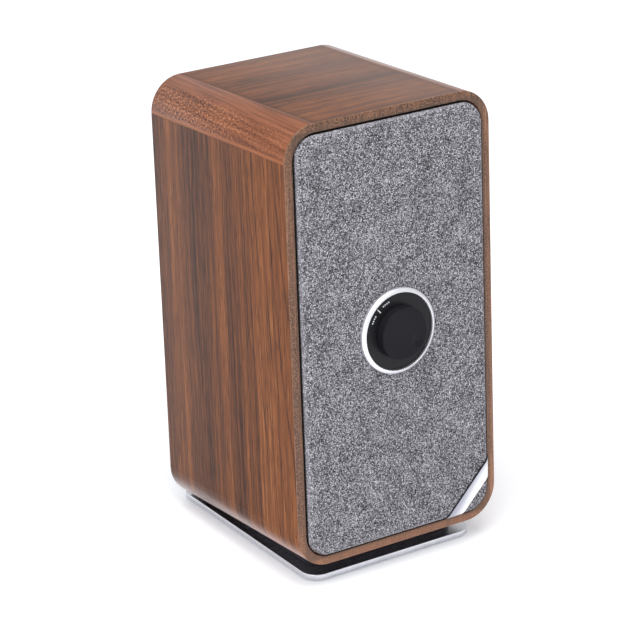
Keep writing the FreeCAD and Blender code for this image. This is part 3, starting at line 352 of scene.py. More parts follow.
wood = finish.blend(finish.math("MULTIPLY", seam, 0.5), wood, paint(164, 96, 52))
joint = finish.math("MULTIPLY", finish.spread(girth, 0.033, 0.0365),
                    finish.spread(out, 0.05, cabinet_depth, 0.0, 0.6))
wood = finish.blend(joint, wood, paint(78, 44, 28))
finish.feed(finish.shader.inputs["Coat Weight"], finish.spread(across, 0.0, post_x, 0.1, 1.0))
finish.relief(finish.math("MULTIPLY", flecks, speckle), 0.00008, 0.5)
upper_post_walnut = finish.colour(wood)

posts = eased("corner_posts", upper_post_walnut, arris)
posts.data.materials.append(left_walnut)
posts.data.materials.append(right_walnut)
for face in posts.data.polygons:
    if face.center.z < at(0, cabinet_height / 2, 0).z:
        face.material_index = 1 if face.center.x < 0 else 2

# ---- Front lip ----
# A frame of upright-grained veneer closes the front ends of boards and posts. Its outer edge is
# sanded to a small round that carries a painted highlight, and its inner edge drops into the
# grille's gap, painted darker there as painted shade.

lip_width = 0.0062
corner_steps = 14


def outline(inset, out):
    """The front's rounded oblong in the face frame, drawn in by an inset with the same corner centres."""
    bend = corner_radius - inset
    corners = ((1, post_top), (-1, post_top), (-1, corner_radius), (1, corner_radius))
    points = []
    for turn, (side, level) in enumerate(corners):
        for step in range(corner_steps + 1):
            angle = math.pi / 2 * (turn + step / corner_steps)
            points.append((side * post_x + bend * math.cos(angle), level + bend * math.sin(angle), out))
    return points


def lofted(name, loops):
    """Skin a row of loops that have the same number of points, the last joined to the first."""
    made = bmesh.new()
    rings = [[made.verts.new(at(*point)) for point in loop] for loop in loops]
    for first, second in zip(rings, rings[1:] + rings[:1]):
        for i in range(len(first)):
            j = (i + 1) % len(first)
            made.faces.new((first[i], first[j], second[j], second[i]))
    bmesh.ops.recalc_face_normals(made, faces=made.faces)
    for face in made.faces:
        face.smooth = True
    mesh = bpy.data.meshes.new(name)
    made.to_mesh(mesh)
    made.free()
    return mesh


def rounded_step(start, end, count=4):
    """A quarter round from one (inset, out) place to another, leaving along the first's out."""
    turns = [math.pi / 2 * step / count for step in range(count + 1)]
    return [(start[0] + (end[0] - start[0]) * (1 - math.cos(turn)),
             start[1] + (end[1] - start[1]) * math.sin(turn)) for turn in turns]


def keep_edges(thing, angle=40):
    """Shade smooth within gentle bends and sharp over real edges."""
    thing.data.set_sharp_from_angle(angle=math.radians(angle))
    return thing


outer_round, inner_round = 0.0007, 0.0003
profile = rounded_step((0, -veneer), (0, -outer_round), 1) + rounded_step((0, -outer_round), (outer_round, 0))
profile += [(inset, out) for inset, out in reversed(rounded_step((lip_width, -inner_round),
                                                                 (lip_width - inner_round, 0)))]
profile += [(lip_width, -veneer)]
finish = Finish("walnut, front lip", Roughness=0.45)
place = finish.face_place(0, 0, 0)
lip_tones = [(0.0, paint(46, 30, 21)), (0.35, paint(80, 52, 36)), (0.6, paint(104, 69, 47)),
             (1.0, paint(150, 106, 76))]
across, up, out = finish.split(place)
bands = [(-half_width, 0.62), (-0.045, 0.40), (-0.01, 0.44), (0.03, 0.34), (0.06, 0.50), (half_width, 0.66)]
wood = walnut(finish, place, 12.4, bands, tones=lip_tones, stripe=0.6)
mottle = finish.spread(finish.noise(place, 2.0, 0.6, scale=800.0), 0.46, 0.62, 0.0, 0.7)
wood = finish.blend(mottle, wood, paint(150, 108, 82))
warmth = finish.spread(up, 0.05, 0.0, 0.0, 0.35)
wood = finish.blend(warmth, wood, paint(172, 112, 76))
# The outer round is painted lighter: a painted highlight where the small round catches the light.
painted_arris_highlight = finish.spread(out, -0.0002, -0.0007, 0.0, 0.25)
wood = finish.blend(painted_arris_highlight, wood, paint(176, 140, 112))
# Towards its inner edge the lip is painted darker: painted shade where it drops into the grille's gap.
from_side = finish.math("SUBTRACT", half_width, finish.math("ABSOLUTE", across))
from_end = finish.math("MINIMUM", up, finish.math("SUBTRACT", cabinet_height, up))
from_edge = finish.math("MINIMUM", from_side, from_end)
painted_gap_shade = finish.spread(from_edge, lip_width - 0.0022, lip_width, 0.0, 0.55)
wood = finish.blend(painted_gap_shade, wood, paint(66, 50, 38))
lip = shown("front_lip", lofted("front_lip", [outline(inset, out) for inset, out in profile]), "root",
            finish.colour(wood))
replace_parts(keep_edges(lip), "front_veneer_frame")

# ---- Grille cloth ----
# Grey melange cloth, plain woven from light and dark yarn, pulled over the grille's board. It rolls
# over the board's edge into the gap behind the lip, and is tucked down round the dial's opening.

grille_gap = 0.0013
cloth_inset = lip_width + grille_gap
cloth_thickness = 0.0006
cloth_front = 0.003
cloth_roll = 0.003
cloth_skirt = -0.004
dial_up = cabinet_height / 2 + 0.001
dial_hole = 0.028
thread_pitch = 0.00106
skirt_steps, roll_steps, pull_steps, tuck_steps = 3, 6, 16, 2
tuck = 0.0012
puckers, pucker_spread, pucker_depth = 40, 0.00008, 0.00012


def cloth_face(shell):
    """Loops of the stretched cloth from the skirt, over the rolled edge, to the dial's opening. Each
    point has its place in the face frame and its place on the flat cloth."""
    front = cloth_front - shell
    roll = cloth_roll - shell
    edge_inset = cloth_inset + shell
    flat_inset = cloth_inset + cloth_roll
    loops = []
    bends = []
    for step in range(skirt_steps):
        out = cloth_skirt + (front - roll - cloth_skirt) * step / skirt_steps
        bends.append((edge_inset, out, (cloth_roll * math.pi / 2) + (front - roll - out)))
    for step in range(roll_steps + 1):
        turn = math.pi / 2 * step / roll_steps
        bends.append((edge_inset + roll * (1 - math.cos(turn)), front - roll + roll * math.sin(turn),
                      cloth_roll * (math.pi / 2 - turn)))
    for inset, out, beyond in bends:
        laid_flat = outline(flat_inset - beyond, 0)
        loops.append([(*p, q[0], q[1]) for p, q in zip(outline(inset, out), laid_flat)])
    rim = outline(flat_inset, front)
    for step in range(1, pull_steps + 1):
        share = step / pull_steps
        loop = []
        for across, up, out in rim:
            angle = math.atan2(up - dial_up, across)
            hole = dial_hole + shell
            x = across + (hole * math.cos(angle) - across) * share
            y = up + (dial_up + hole * math.sin(angle) - up) * share
            loop.append((x, y, out, x, y))
        loops.append(loop)
    for step in range(1, tuck_steps + 1):
        loops.append([(x, y, front - tuck * step, x, y) for x, y, out, u, v in loops[-1]])
    return loops


def cloth_mesh():
    """The cloth as one closed skin, very slightly puckered, with its flat places kept as its UV map."""
    pulled = random.Random(4)
    knots = [(pulled.uniform(-0.07, 0.07), pulled.uniform(0.02, 0.29), pulled.uniform(0.4, 1.0))
             for _ in range(puckers)]
    made = bmesh.new()
    weave = made.loops.layers.uv.new("weave")
    rings, flat = [], {}
    for loop in cloth_face(0.0) + list(reversed(cloth_face(cloth_thickness))):
        ring = []
        for across, up, out, u, v in loop:
            slack = sum(height * math.exp(-((across - x) ** 2 + (up - y) ** 2) / pucker_spread)
                        for x, y, height in knots)
            vert = made.verts.new(at(across, up, out - pucker_depth * min(slack, 1.0)))
            flat[vert] = (u, v)
            ring.append(vert)
        rings.append(ring)
    for first, second in zip(rings, rings[1:] + rings[:1]):
        for i in range(len(first)):
            j = (i + 1) % len(first)
            face = made.faces.new((first[i], first[j], second[j], second[i]))
            face.smooth = True
            for corner in face.loops:
                corner[weave].uv = flat[corner.vert]
    bmesh.ops.recalc_face_normals(made, faces=made.faces)
    mesh = bpy.data.meshes.new("grille_cloth_woven")
    made.to_mesh(mesh)
    made.free()
    return mesh


finish = Finish("grey melange cloth", Roughness=0.9, Specular_IOR_Level=0.1)
flat_place = finish.add("UVMap", uv_map="weave").outputs[0]
wobble = finish.add("TexNoise", {"Vector": flat_place, "Scale": 260.0, "Detail": 2.0}).outputs["Color"]
wobble = finish.add("VectorMath", {0: wobble, 1: (0.5, 0.5, 0.5)}, operation="SUBTRACT").outputs[0]
wobble = finish.add("VectorMath", {0: wobble, "Scale": 0.0003}, operation="SCALE").outputs[0]
flat_place = finish.add("VectorMath", {0: flat_place, 1: wobble}, operation="ADD").outputs[0]
flat_across, flat_up, _ = finish.split(flat_place)
warp_count = finish.math("MULTIPLY_ADD", flat_across, 1 / thread_pitch, 400.0)
weft_count = finish.math("MULTIPLY_ADD", flat_up, 1 / thread_pitch, 400.0)
warp_thread, weft_thread = finish.math("FLOOR", warp_count), finish.math("FLOOR", weft_count)
warp_off = finish.math("SUBTRACT", finish.math("FRACT", warp_count), 0.5)
weft_off = finish.math("SUBTRACT", finish.math("FRACT", weft_count), 0.5)
warp_over = finish.math("MODULO", finish.math("ADD", warp_thread, weft_thread), 2.0)


def yarn(thread, along, seed):
    """How light a thread is along its length: short runs of light and dark fibre twisted together."""
    place = finish.join(finish.math("MULTIPLY", thread, 7.31), finish.math("MULTIPLY", along, 1.7), seed)
    return finish.noise(place, 2.0, 0.6)


def crossing(off_across, off_along):
    """The height of the thread on top: round across its width, arched along its length."""
    width = finish.math("MULTIPLY_ADD", finish.math("MULTIPLY", off_across, off_across), -3.6, 1.0)
    arch = finish.math("MULTIPLY_ADD", finish.math("MULTIPLY", off_along, off_along), -1.8, 1.0)
    return finish.math("MULTIPLY", width, arch)


weft_yarn, warp_yarn = yarn(weft_thread, warp_count, 3.3), yarn(warp_thread, weft_count, 9.1)
weft_height, warp_height = crossing(weft_off, warp_off), crossing(warp_off, weft_off)
lightness = finish.add("Mix", {0: warp_over, 2: weft_yarn, 3: warp_yarn}).outputs[0]
height = finish.add("Mix", {0: warp_over, 2: weft_height, 3: warp_height}).outputs[0]
patches = finish.noise(flat_place, 2.0, 0.5, scale=60.0)
fuzz = finish.noise(flat_place, 2.0, 0.6, scale=5200.0)
lightness = finish.math("ADD", lightness, finish.math("MULTIPLY_ADD", patches, 0.10, -0.05))
lightness = finish.math("ADD", lightness, finish.math("MULTIPLY_ADD", fuzz, 0.12, -0.06))
wool_tones = [(0.34, paint(36, 34, 38)), (0.44, paint(80, 78, 82)), (0.53, paint(134, 132, 137)),
              (0.64, paint(220, 218, 226))]
wool = finish.ramp(lightness, wool_tones, smooth=False)
# Between the threads the cloth is painted darker: painted shade in the hollows of the weave.
wool = finish.blend(finish.spread(height, 0.0, 0.75, 0.6, 0.0), wool, paint(34, 32, 36))
face_margin = cloth_inset + cloth_roll
past_side = finish.math("SUBTRACT", finish.math("ABSOLUTE", flat_across), half_width - face_margin)
middle_up = finish.math("SUBTRACT", flat_up, cabinet_height / 2)
past_end = finish.math("SUBTRACT", finish.math("ABSOLUTE", middle_up), cabinet_height / 2 - face_margin)
past_edge = finish.math("MAXIMUM", past_side, past_end)
# Over the rolled edge the cloth is painted paler: a painted sheen.
wool = finish.blend(finish.spread(past_edge, 0.0, 0.003, 0.0, 0.2), wool, paint(196, 194, 204))
# Down the skirt behind the lip the cloth is painted near black: painted shade in the gap.
wool = finish.blend(finish.spread(past_edge, 0.0038, 0.0050, 0.0, 0.9), wool, paint(14, 12, 14))
finish.relief(finish.math("MULTIPLY_ADD", fuzz, 0.25, height), 0.00025, 0.8)
cloth = shown("grille_cloth_woven", cloth_mesh(), "root", finish.colour(wool))
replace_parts(keep_edges(cloth, 60), "grille_cloth")

# ---- Trim strip ----
# A plain strip of brushed aluminium laid over the grille's lower right corner, its two ends bent down
# over the cloth's rolled edge. Its lower edge carries a painted highlight and a painted shadow line runs
# along its upper one; its tone is painted lighter towards the lower edge as a painted reflection.

strip_places = [face_turn.transposed() @ (vert.co - face_origin)
                for vert in frame["nodes"]["corner_trim_strip"].data.vertices]
strip_overs = [place.y - place.x for place in strip_places]
strip_low, strip_high = min(strip_overs), max(strip_overs)
strip_alongs = [place.x + place.y for place in strip_places]
finish = Finish("brushed aluminium strip", Metallic=1.0, Roughness=0.3)
across, up, out = finish.split(finish.face_place())
along = finish.math("ADD", across, up)
over = finish.math("SUBTRACT", up, across)
brush_place = finish.join(finish.math("MULTIPLY", over, 5200.0), finish.math("MULTIPLY", along, 60.0))
brushed = finish.noise(brush_place, 3.0)
# The strip's tone is painted lighter towards its lower edge and its upper right end: a painted reflection.
lengthwise = finish.spread(along, min(strip_alongs), max(strip_alongs), 0.0, 0.3)
crosswise = finish.spread(over, strip_high, strip_low, 0.0, 0.45)
shade = finish.math("MULTIPLY_ADD", brushed, 0.2, finish.math("ADD", lengthwise, crosswise))
strip_metal = finish.ramp(shade, [(0.15, paint(168, 168, 180)), (0.80, paint(252, 252, 252))])
shadow_line = finish.spread(over, strip_high - 0.0016, strip_high - 0.0006)
strip_metal = finish.blend(shadow_line, strip_metal, paint(52, 52, 58))
# Along its lower edge the strip is painted near white: a painted highlight on the polished bevel.
painted_edge_highlight = finish.spread(over, strip_low + 0.0022, strip_low + 0.0010)
strip_metal = finish.blend(painted_edge_highlight, strip_metal, paint(252, 252, 254))
finish.relief(brushed, 0.00003, 0.4)
eased("corner_trim_strip", finish.colour(strip_metal), 0.0003)

# ---- Dial: ring, fascia, printed marks and knob ----
# A turned aluminium ring holds the black fascia on the dial's housing. White marks are printed on the
# fascia beside the knob: one bar for the pointer's rest, and a row of plain ticks on each side of it.

finish = Finish("turned aluminium ring", Metallic=0.75, Roughness=0.38)
place = finish.face_place(0, dial_up, 0)
across, up, out = finish.split(place)
reach = finish.math("SQRT", finish.math("ADD", finish.math("MULTIPLY", across, across),
                                        finish.math("MULTIPLY", up, up)))
grooves = finish.noise(finish.join(finish.math("MULTIPLY", reach, 9000.0), 0.0), 2.0)
finish.relief(grooves, 0.00002, 0.3)
ring_metal = finish.ramp(grooves, [(0.2, paint(232, 232, 238)), (0.8, paint(248, 248, 252))])
eased("dial_ring", finish.colour(ring_metal), 0.00012, corner=20)


def moulded(name, dark, light, roughness=0.45, grain=900.0, depth=0.00004, gloss=0.2):
    """Moulded plastic with a fine spark-eroded grain."""
    finish = Finish(name, Roughness=roughness, Specular_IOR_Level=gloss)
    place = finish.face_place()
    texture = finish.noise(place, 3.0, 0.6, scale=grain)
    broad = finish.noise(place, 2.0, 0.5, scale=30.0)
    finish.relief(texture, depth, 0.5)
    finish.feed(finish.shader.inputs["Roughness"], finish.math("MULTIPLY_ADD", broad, 0.12, roughness - 0.06))
    mixed = finish.math("ADD", finish.math("MULTIPLY", texture, 0.6), finish.math("MULTIPLY", broad, 0.4))
    return finish.colour(finish.ramp(mixed, [(0.3, dark), (0.7, light)]))


satin_black = moulded("satin black fascia", paint(26, 26, 29), paint(34, 34, 38), 0.38, 1600.0, 0.00002)
eased("dial_fascia", satin_black, 0.0001)
eased("dial_housing", moulded("black housing", paint(24, 24, 26), paint(32, 32, 35)), 0.0001)
soft_black = moulded("soft black knob", paint(24, 23, 28), paint(31, 30, 36), 0.48, 1400.0, 0.00003, 0.1)
eased("volume_knob", soft_black, 0.00025, corner=12)

ink_thickness = 0.00006
bar_size, tick_size = (0.0036, 0.0008, ink_thickness), (0.0011, 0.0009, ink_thickness)
bar_to_tick = 0.19
fascia_front = max((face_turn.transposed() @ (vert.co - face_origin)).z
                   for vert in frame["nodes"]["dial_fascia"].data.vertices)
mark_tree = bpy.data.node_groups.new("printed marks", "GeometryNodeTree")


def tree_node(tree, kind, inputs=(), **settings):
    """A node of a geometry tree, its inputs set to values or linked to sockets."""
    node = tree.nodes.new(kind)
    for name, value in settings.items():
        setattr(node, name, value)
    for socket, value in dict(inputs).items():
        if isinstance(value, bpy.types.NodeSocket):
            tree.links.new(value, node.inputs[socket])
        else:
            node.inputs[socket].default_value = value
    return node


def grown(name, tree, base_mesh, values, material, body):
    """Run a geometry tree on a mesh, keep its result as one plain mesh, and show it as a piece."""
    thing = bpy.data.objects.new(name, base_mesh)
    scene.collection.objects.link(thing)
    growth = thing.modifiers.new("growth", "NODES")
    growth.node_group = tree
    for item in tree.interface.items_tree:
        if item.in_out == "INPUT" and item.name in values:
            growth[item.identifier] = values[item.name]
    settled(thing)
    thing.data.materials.clear()
    thing.data.materials.append(material)
    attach(thing, body)
    return thing


def turned_to_face(tree, geometry, across, up, out):
    """Lay geometry drawn flat about its own origin onto a place of the leaning front."""
    return tree_node(tree, "GeometryNodeTransform", {"Geometry": geometry, "Translation": at(across, up, out),
                                                     "Rotation": (math.pi / 2 - lean, 0, 0)})


ink = Finish("white ink", Roughness=0.6)
ink_grain = ink.noise(ink.face_place(0, dial_up), 2.0, 0.5, scale=2500.0)
white_ink = ink.colour(ink.ramp(ink_grain, [(0.3, paint(206, 206, 210)), (0.7, paint(236, 236, 238))]))

mark_tree.interface.new_socket("Geometry", in_out="INPUT", socket_type="NodeSocketGeometry")
mark_tree.interface.new_socket("Geometry", in_out="OUTPUT", socket_type="NodeSocketGeometry")
for name, kind in (("Radius", "NodeSocketFloat"), ("Step", "NodeSocketFloat"), ("Ticks", "NodeSocketInt"),
                   ("Bar angle", "NodeSocketFloat")):
    mark_tree.interface.new_socket(name, in_out="INPUT", socket_type=kind)
given = mark_tree.nodes.new("NodeGroupInput").outputs
result = mark_tree.nodes.new("NodeGroupOutput")


def row_of_marks(first_angle, step, count, size):
    """Short printed bars standing along an arc about the dial's centre."""
    number = tree_node(mark_tree, "GeometryNodeInputIndex").outputs[0]
    swing = tree_node(mark_tree, "ShaderNodeMath", {0: number, 1: step, 2: first_angle},
                      operation="MULTIPLY_ADD")
    x = tree_node(mark_tree, "ShaderNodeMath", {0: swing.outputs[0]}, operation="COSINE")
    y = tree_node(mark_tree, "ShaderNodeMath", {0: swing.outputs[0]}, operation="SINE")
    spot = tree_node(mark_tree, "ShaderNodeCombineXYZ", {0: x.outputs[0], 1: y.outputs[0]})
    spot = tree_node(mark_tree, "ShaderNodeVectorMath", {0: spot.outputs[0], "Scale": given["Radius"]},
                     operation="SCALE")
    points = tree_node(mark_tree, "GeometryNodePoints", {"Count": count, "Position": spot.outputs[0]})
    bar = tree_node(mark_tree, "GeometryNodeMeshCube", {"Size": size})
    turn = tree_node(mark_tree, "ShaderNodeCombineXYZ", {2: swing.outputs[0]})
    return tree_node(mark_tree, "GeometryNodeInstanceOnPoints",
                     {"Points": points.outputs[0], "Instance": bar.outputs[0], "Rotation": turn.outputs[0]})


def mark_sum(first, second, operation):
    return tree_node(mark_tree, "ShaderNodeMath", {0: first, 1: second}, operation=operation).outputs[0]


step_back = mark_sum(given["Step"], -1.0, "MULTIPLY")
past_bar = mark_sum(given["Bar angle"], bar_to_tick, "ADD")
before_bar = mark_sum(given["Bar angle"], bar_to_tick, "SUBTRACT")
rows = [row_of_marks(given["Bar angle"], given["Step"], 1, bar_size),
        row_of_marks(past_bar, given["Step"], given["Ticks"], tick_size),
        row_of_marks(before_bar, step_back, given["Ticks"], tick_size)]
gathered = mark_tree.nodes.new("GeometryNodeJoinGeometry")
for row in rows:
    mark_tree.links.new(row.outputs[0], gathered.inputs[0])
real = tree_node(mark_tree, "GeometryNodeRealizeInstances", {"Geometry": gathered.outputs[0]})
laid = turned_to_face(mark_tree, real.outputs[0], 0, dial_up, fascia_front + ink_thickness / 2)
inked = tree_node(mark_tree, "GeometryNodeSetMaterial", {"Geometry": laid.outputs[0], "Material": white_ink})
mark_tree.links.new(inked.outputs[0], result.inputs[0])
spacing = {"Radius": 0.0232, "Step": 0.07, "Ticks": 4, "Bar angle": 2.3}
grown("dial_marks", mark_tree, bpy.data.meshes.new("dial_marks"), spacing, white_ink, "root")

# ---- Stand ----
# A thick plate of polished aluminium on a rubber sheet. A black wedge on the plate leans the cabinet
# back, and is set in from the plate's edge all round.

finish = Finish("polished aluminium plate", Metallic=1.0)
place = finish.face_place()
x, y, z = finish.split(place)
lines = finish.noise(finish.join(finish.math("MULTIPLY", x, 60.0), finish.math("MULTIPLY", z, 2600.0)), 3.0)
finish.relief(lines, 0.00001, 0.1)
finish.feed(finish.shader.inputs["Roughness"], finish.math("MULTIPLY_ADD", lines, 0.12, 0.22))
plate_metal = finish.colour(finish.ramp(lines, [(0.3, paint(204, 205, 210)), (0.7, paint(220, 220, 226))]))
eased("base_plate", plate_metal, 0.0005)
eased("stand_wedge", moulded("black wedge", paint(46, 43, 48), paint(60, 56, 62), 0.5), 0.0006)
eased("base_pad", moulded("rubber sheet", paint(26, 26, 27), paint(36, 36, 37), 0.8, 500.0), 0.0002)

# ---- Rear panel and its fittings ----
# A black painted board drops into the back of the case and is held by six screws. It carries the
# reflex port and a moulded plate with the power inlet, the two sockets and the pairing button.

finish = Finish("black painted board", Roughness=0.55)
place = finish.face_place()
orange_peel = finish.noise(place, 2.0, 0.5, scale=420.0)
dust = finish.noise(place, 4.0, 0.6, scale=45.0)
finish.relief(orange_peel, 0.00006, 0.5)
painted_board = finish.colour(finish.ramp(dust, [(0.3, paint(30, 30, 32)), (0.7, paint(42, 42, 45))]))
eased("rear_panel", painted_board, 0.0003)
port_black = moulded("black port", paint(24, 24, 26), paint(33, 33, 36), 0.42, 1200.0, 0.00003)
eased("reflex_port", port_black, 0.0002)
eased("connector_plate", moulded("black connector plate", paint(34, 34, 37), paint(44, 44, 48), 0.5), 0.0002)
socket_black = moulded("black sockets", paint(16, 16, 18), paint(24, 24, 26), 0.35)
for node in ("power_inlet", "aux_jack"):
    eased(node, socket_black, 0.0001)
eased("pairing_button", moulded("grey button", paint(70, 70, 74), paint(84, 84, 88), 0.5), 0.0003)


def metal(name, dark, light, roughness, metallic=1.0, grain=300.0):
    """Bare or painted metal: cloudy in tone, with a fine tooth."""
    finish = Finish(name, Metallic=metallic, Roughness=roughness)
    place = finish.face_place()
    cloud = finish.noise(place, 3.0, 0.6, scale=grain)
    tooth = finish.noise(place, 2.0, 0.5, scale=grain * 9)
    finish.relief(tooth, 0.00002, 0.3)
    return finish.colour(finish.ramp(cloud, [(0.3, dark), (0.7, light)]))


bright_steel = metal("nickel plated steel", paint(176, 176, 180), paint(206, 206, 210), 0.3)
black_steel = metal("blacked steel", paint(30, 30, 32), paint(52, 52, 55), 0.35, 0.6)
eased("service_socket", bright_steel, 0.0001)


# ---- Rear screws ----
# Pan-head screws with a cross recess: six hold the rear panel, four hold the connector plate.

def screw_head(radius, height):
    """One head about its own z axis, its crown rounded and its cross recess sunk in."""
    made = bmesh.new()
    around, levels = 32, 5
    rings = []
    for step in range(levels):
        turn = math.pi / 2 * step / levels
        rings.append([made.verts.new((radius * math.cos(turn) * math.cos(2 * math.pi * i / around),
                                      radius * math.cos(turn) * math.sin(2 * math.pi * i / around),
                                      height * math.sin(turn) ** 0.8)) for i in range(around)])
    for first, second in zip(rings, rings[1:]):
        for i in range(around):
            j = (i + 1) % around
            made.faces.new((first[i], first[j], second[j], second[i]))
    made.faces.new(rings[-1])
    made.faces.new(list(reversed(rings[0])))
    mesh = bpy.data.meshes.new("screw_head")
    made.to_mesh(mesh)
    made.free()
    return mesh


def cross_cutter(radius, height):
    """The driver's cross as one closed block, its arms shorter at the bottom than at the top."""
    made = bmesh.new()
    half_width, rings = radius * 0.13, []
    for level, arm in ((height * 0.3, radius * 0.35), (height * 1.5, radius * 0.62)):
        corner = [(arm, -half_width), (arm, half_width), (half_width, half_width)]
        outline_of_cross = [(Matrix.Rotation(math.pi / 2 * quarter, 2) @ Vector(place))
                            for quarter in range(4) for place in corner]
        rings.append([made.verts.new((*place, level)) for place in outline_of_cross])
    bottom, top = rings
    for i in range(len(bottom)):
        j = (i + 1) % len(bottom)
        made.faces.new((bottom[i], bottom[j], top[j], top[i]))
    made.faces.new(top)
    made.faces.new(list(reversed(bottom)))
    mesh = bpy.data.meshes.new("cross")
    made.to_mesh(mesh)
    made.free()
    return mesh


screw_tree = bpy.data.node_groups.new("screws on points", "GeometryNodeTree")
screw_tree.interface.new_socket("Geometry", in_out="INPUT", socket_type="NodeSocketGeometry")
screw_tree.interface.new_socket("Geometry", in_out="OUTPUT", socket_type="NodeSocketGeometry")
screw_tree.interface.new_socket("Head", in_out="INPUT", socket_type="NodeSocketObject")
given = screw_tree.nodes.new("NodeGroupInput").outputs
result = screw_tree.nodes.new("NodeGroupOutput")
head = tree_node(screw_tree, "GeometryNodeObjectInfo", {"Object": given["Head"]}).outputs["Geometry"]
spin = tree_node(screw_tree, "FunctionNodeRandomValue", {"Min": 0.0, "Max": 3.0, "Seed": 7},
                 data_type="FLOAT")
spin_turn = tree_node(screw_tree, "ShaderNodeCombineXYZ", {2: spin.outputs[1]}).outputs[0]
spun = tree_node(screw_tree, "GeometryNodeInstanceOnPoints", {"Points": given["Geometry"], "Instance": head})
facing_back = tree_node(screw_tree, "GeometryNodeRotateInstances",
                        {"Instances": spun.outputs[0], "Rotation": (-math.pi / 2 - lean, 0, 0)})
turned_heads = tree_node(screw_tree, "GeometryNodeRotateInstances",
                         {"Instances": facing_back.outputs[0], "Rotation": spin_turn})
real = tree_node(screw_tree, "GeometryNodeRealizeInstances", {"Geometry": turned_heads.outputs[0]})
set_black = tree_node(screw_tree, "GeometryNodeSetMaterial",
                      {"Geometry": real.outputs[0], "Material": black_steel})
screw_tree.links.new(set_black.outputs[0], result.inputs[0])


def screws(name, node, radius, height):
    """Finer heads for one group of screws, on the places of the group's own solids."""
    source = bmesh.new()
    source.from_mesh(frame["nodes"][node].data)
    bmesh.ops.remove_doubles(source, verts=source.verts, dist=1e-6)
    left, centres = set(source.verts), []
    while left:
        pile, island = [left.pop()], []
        while pile:
            vert = pile.pop()
            island.append(vert.co.copy())
            for edge in vert.link_edges:
                other = edge.other_vert(vert)
                if other in left:
                    left.discard(other)
                    pile.append(other)
        faces = [face_turn.transposed() @ (place - face_origin) for place in island]
        middle = (max(p.x for p in faces) + min(p.x for p in faces)) / 2
        level = (max(p.y for p in faces) + min(p.y for p in faces)) / 2
        centres.append(at(middle, level, min(p.z for p in faces) + height))
    source.free()
    base = bpy.data.meshes.new(name + "_places")
    base.from_pydata(centres, [], [])
    head = bpy.data.objects.new(name + "_head", screw_head(radius, height))
    cross = bpy.data.objects.new(name + "_cross", cross_cutter(radius, height))
    for thing in (head, cross):
        scene.collection.objects.link(thing)
    sink = head.modifiers.new("recess", "BOOLEAN")
    sink.object = cross
    sink.operation = "DIFFERENCE"
    settled(head)
    bpy.data.objects.remove(cross)
    thing = grown(name, screw_tree, base, {"Head": head}, black_steel, "root")
    bpy.data.objects.remove(head)
    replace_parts(keep_edges(thing, 30), node)


screws("rear_panel_screw_heads", "rear_panel_screws", 0.0026, 0.0015)
screws("connector_plate_screw_heads", "connector_plate_screws", 0.0026, 0.0014)

# ---- Inside the cabinet ----
# What the case hides: baffle, grille board, drivers, boards, encoder, lining and fixings. Each keeps
# its own shape and takes the finish of its real material.


def sheet_stuff(name, dark, light, roughness, scale, stretch=(1.0, 1.0, 1.0), depth=0.0001):
    """Board, paper, foam or rubber: mottled, with a tooth that may run one way."""
    finish = Finish(name, Roughness=roughness)
    place = finish.add("VectorMath", {0: finish.face_place(), 1: stretch}, operation="MULTIPLY").outputs[0]
    mottle = finish.noise(place, 4.0, 0.65, scale=scale)
    finish.relief(mottle, depth, 0.6)
    return finish.colour(finish.ramp(mottle, [(0.32, dark), (0.68, light)]))


inner_finishes = {
    "fibreboard": sheet_stuff("fibreboard", paint(150, 122, 92), paint(182, 152, 118), 0.85, 900.0),
    "black_board": painted_board,
    "black_plastic": moulded("inner black plastic", paint(26, 26, 28), paint(36, 36, 39)),
    "rubber": sheet_stuff("inner rubber", paint(24, 24, 25), paint(36, 36, 37), 0.75, 500.0),
    "steel": bright_steel,
    "black_steel": black_steel,
    "basket_metal": metal("powder coated basket", paint(34, 34, 36), paint(48, 48, 51), 0.55, 0.4, 700.0),
    "ferrite": sheet_stuff("ferrite", paint(52, 52, 56), paint(74, 74, 78), 0.6, 600.0),
    "copper_coil": metal("enamelled copper", paint(150, 78, 40), paint(196, 112, 66), 0.3, 1.0, 900.0),
    "cone_paper": sheet_stuff("pressed paper cone", paint(38, 38, 40), paint(60, 60, 63), 0.85, 700.0),
    "spider_cloth": sheet_stuff("doped cotton", paint(150, 122, 60), paint(188, 160, 96), 0.8, 1500.0),
    "foam": sheet_stuff("open foam", paint(44, 44, 48), paint(82, 82, 88), 0.95, 1100.0, depth=0.0004),
    "circuit_board": moulded("green circuit board", paint(20, 74, 44), paint(34, 98, 60), 0.35, 400.0),
    "components": moulded("moulded components", paint(26, 26, 30), paint(44, 44, 50), 0.4),
    "sink_aluminium": metal("extruded aluminium", paint(168, 168, 174), paint(200, 200, 206), 0.4),
    "insert_brass": metal("turned brass", paint(170, 132, 66), paint(206, 168, 92), 0.3),
    "wire_sleeve": moulded("wire sleeve", paint(24, 24, 26), paint(40, 40, 43), 0.5),
}
for node, thing in frame["nodes"].items():
    if not thing.hide_render:
        thing.data.materials.clear()
        thing.data.materials.append(inner_finishes[slots[node]])

# ---- Studio ----
# A plain white floor under soft light from all round, with a large lamp above and before the cabinet
# and a weak one at its left front. The camera looks down on the cabinet's left front corner.

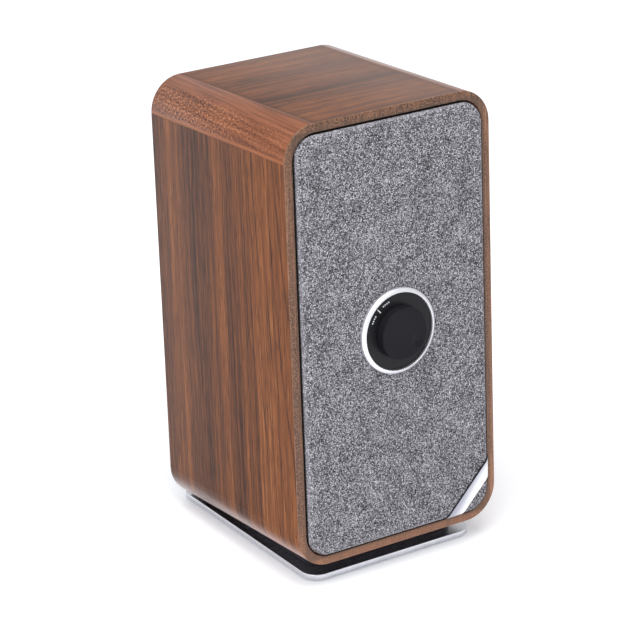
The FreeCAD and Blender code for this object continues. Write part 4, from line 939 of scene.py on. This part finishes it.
floor_mesh = bpy.data.meshes.new("floor")
floor_reach = 6.0
floor_mesh.from_pydata([(-floor_reach, -floor_reach, 0), (floor_reach, -floor_reach, 0),
                        (floor_reach, floor_reach, 0), (-floor_reach, floor_reach, 0)], [], [(0, 1, 2, 3)])
floor = bpy.data.objects.new("floor", floor_mesh)
scene.collection.objects.link(floor)
floor_finish = Finish("white floor", Roughness=0.9, Specular_IOR_Level=0.1,
                      Emission_Color=(0.88, 0.93, 1.0, 1), Emission_Strength=0.16)
floor_mesh.materials.append(floor_finish.colour(paint(250, 250, 252)))

world = bpy.data.worlds.new("soft white")
scene.world = world
world.use_nodes = True
world.node_tree.nodes["Background"].inputs["Color"].default_value = (0.98, 0.99, 1.0, 1)
world.node_tree.nodes["Background"].inputs["Strength"].default_value = 0.74


def lamp(name, place, size, power, target=(0, 0, 0.15)):
    light = bpy.data.lights.new(name, "AREA")
    light.size = size
    light.energy = power
    thing = bpy.data.objects.new(name, light)
    thing.location = place
    thing.rotation_euler = (Vector(target) - Vector(place)).to_track_quat("-Z", "Y").to_euler()
    scene.collection.objects.link(thing)


lamp("overhead", (-0.5, -0.5, 2.2), 1.6, 36.0)
lamp("left front", (-1.9, -1.1, 1.0), 1.2, 5.0)

scene.view_settings.view_transform = "Standard"

azimuth, elevation, roll = math.radians(-34.318), math.radians(22.604), math.radians(-0.119)
aim, distance = Vector((-0.00590, -0.00231, 0.15203)), 2.06285
back = Vector((math.sin(azimuth) * math.cos(elevation), -math.cos(azimuth) * math.cos(elevation),
               math.sin(elevation)))
level_right = Vector((math.cos(azimuth), math.sin(azimuth), 0))
level_up = level_right.cross(-back)
upward = level_up * math.cos(roll) + level_right * math.sin(roll)
rightward = level_right * math.cos(roll) - level_up * math.sin(roll)
camera = bpy.data.objects.new("camera", bpy.data.cameras.new("camera"))
camera.data.lens = 167.44
camera.data.sensor_width = 36.0
camera.data.clip_start = 0.1
camera.location = aim + back * distance
camera.rotation_euler = Matrix((rightward, upward, back)).transposed().to_euler()
scene.collection.objects.link(camera)
scene.camera = camera
